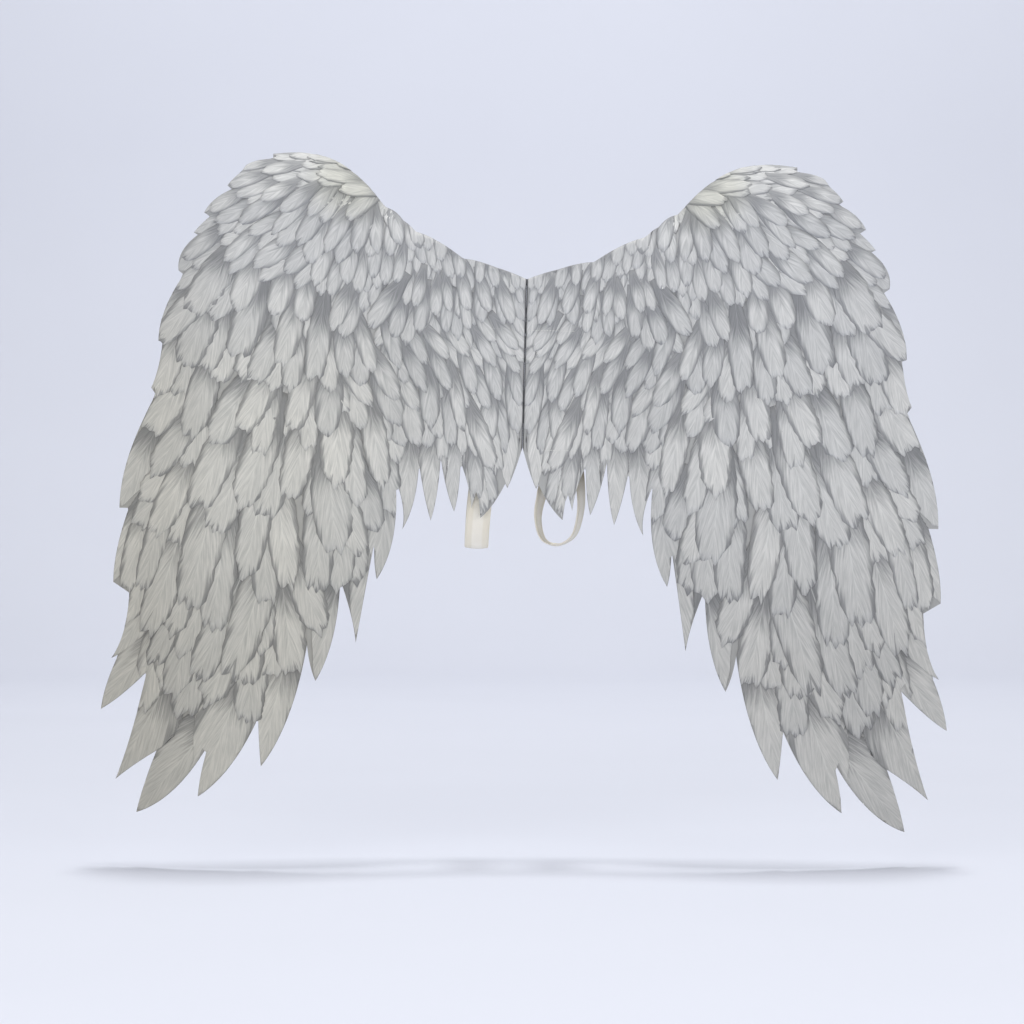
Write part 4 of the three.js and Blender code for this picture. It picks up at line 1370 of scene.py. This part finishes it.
def whip_tree():
    """Slanting stitches spaced along the seam."""
    inputs = {"Seam": "Geometry", "Stitch": "Object", "Pitch": "Float", "Uneven": "Float"}
    tree, given = new_tree("whip_stitch", inputs | {"Thread": "Material"}, "Stitches")
    curve = add(tree, "GeometryNodeMeshToCurve", {"Mesh": given["Seam"]})
    pitch = {"Curve": curve, "Length": given["Pitch"]}
    spaced = add(tree, "GeometryNodeCurveToPoints", pitch, mode="LENGTH")
    back = add(tree, "ShaderNodeMath", {0: given["Uneven"], 1: -1.0}, operation="MULTIPLY")
    spread = {2: back, 3: given["Uneven"], "Seed": 4}
    lean = add(tree, "FunctionNodeRandomValue", spread, 1, data_type="FLOAT")
    turn = add(tree, "ShaderNodeCombineXYZ", {"Y": lean})
    return stand_stitches(tree, given, spaced, turn)


# Half of a whip stitch, from the middle of the seam outwards: out over its reach, and behind the edges' face.
half_over = ((0.86, 0.28), (1.03, -0.6), (1, -WHIP_DEPTH))
over = [*((-x, y) for x, y in reversed(half_over)), (0, 0.36), *half_over]
whip_path = [(WHIP_REACH * x, y, WHIP_SLANT * x) for x, y in over]
whip = make_thread("whip", whip_path, STITCH_WIDTH / 2, STITCH_WIDTH / 2, taper=0.5)
seam = new_piece("seam", [(0, 0, SEAM_FROM), (0, 0, SEAM_TO)], [], [(0, 1)])
settings = {"Stitch": whip, "Pitch": WHIP_PITCH * MM, "Uneven": WHIP_UNEVEN, "Thread": material_thread}
seam_sewing = grown(seam, whip_tree(), settings, "seam_stitches")
bpy.data.objects.remove(seam)
bpy.data.objects.remove(whip)
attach(seam_sewing, "root")

# The camera and the studio
# A long lens level with the wings' middle, 4 m off, rolled so that the pair hangs a degree and a half
# crooked, in front of a plain seamless pale backdrop with soft light. Sizes here are in metres.
CAMERA_DISTANCE = 4.0
SENSOR = 36
FIELD = 1.2549  # how wide the frame is at the wings
MIDDLE = (-0.0109, -0.055, -0.1805)
ROLL = math.radians(-1.5)
FLOOR_Z = -0.62
FLOOR_FRONT = -6
FLOOR_HALF = 8
BEND_FROM = 4.6  # where the floor starts to sweep up into the wall
BEND_ROUND = 1.6
WALL_TOP = 8.0

camera_data = bpy.data.cameras.new("camera")
camera_data.sensor_width = SENSOR
camera_data.lens = SENSOR * CAMERA_DISTANCE / FIELD
camera_data.clip_end = 60
camera = bpy.data.objects.new("camera", camera_data)
camera.location = (MIDDLE[0], MIDDLE[1] - CAMERA_DISTANCE, MIDDLE[2])
camera.rotation_euler = (math.pi / 2, ROLL, 0)
bpy.context.scene.collection.objects.link(camera)
bpy.context.scene.camera = camera

# The floor is as crooked as the camera, so that it lies level in the picture.
slant = math.tan(ROLL)
bend = [(math.sin(a), 1 - math.cos(a)) for a in np.linspace(0, math.pi / 2, 14)]
sweep = [(BEND_FROM + BEND_ROUND * y, BEND_ROUND * z) for y, z in bend]
sweep = [(FLOOR_FRONT, 0.0), *sweep, (BEND_FROM + BEND_ROUND, WALL_TOP)]
across_floor = (-FLOOR_HALF, FLOOR_HALF)
ends = [(x / MM, y / MM, (FLOOR_Z + z - slant * x) / MM) for y, z in sweep for x in across_floor]
floor = new_piece("studio_floor", ends, [(i, i + 1, i + 3, i + 2) for i in range(0, len(ends) - 2, 2)])
floor.data.shade_smooth()

# Studio paper: matt, pale blue-grey, with a faint cloudiness and a fine tooth.
material_floor, tree = new_material("matt_studio_paper")
where = add(tree, "ShaderNodeTexCoord", output=3)
cloud = add(tree, "ShaderNodeTexNoise", {"Vector": where, "Scale": 1.5, "Detail": 2.0})
paper = add(tree, "ShaderNodeMix", {0: cloud, 6: paint("#D2D5DF"), 7: paint("#D6D9E3")}, 2, data_type="RGBA")
tooth = add(tree, "ShaderNodeTexNoise", {"Vector": where, "Scale": 400.0, "Detail": 2.0})
grain = add(tree, "ShaderNodeBump", {"Strength": 0.05, "Distance": 0.0005, "Height": tooth})
finish_material(tree, paper, 0.95, grain)
floor.data.materials.append(material_floor)


def soft_light(name, place_at, aim, size, power):
    """A white rectangular light, with its size in metres and its power in watts."""
    light = bpy.data.lights.new(name, "AREA")
    light.shape = "RECTANGLE"
    light.size, light.size_y = size
    light.energy = power
    lamp = bpy.data.objects.new(name, light)
    lamp.location = place_at
    lamp.rotation_euler = (Vector(aim) - Vector(place_at)).to_track_quat("-Z", "Y").to_euler()
    bpy.context.scene.collection.objects.link(lamp)


soft_light("key_light", (-1.7, -3.8, 0.7), (0, 0, -0.15), (3.0, 3.0), 61)
soft_light("fill_light", (2.2, -3.6, 0.4), (0, 0, -0.2), (3.0, 3.0), 57)
soft_light("top_light", (0, 0, 6.0), (0, 0, -0.6), (0.8, 2.0), 300)
soft_light("backdrop_light", (0, 3.4, 3.0), (0, 6.0, 0.2), (5.0, 1.2), 53)
world = bpy.data.worlds.new("studio")
world.use_nodes = True
surroundings = world.node_tree.nodes["Background"].inputs
surroundings["Color"].default_value = paint("#FCFCFF")
surroundings["Strength"].default_value = 0.36
bpy.context.scene.world = world
bpy.context.scene.view_settings.view_transform = "Standard"
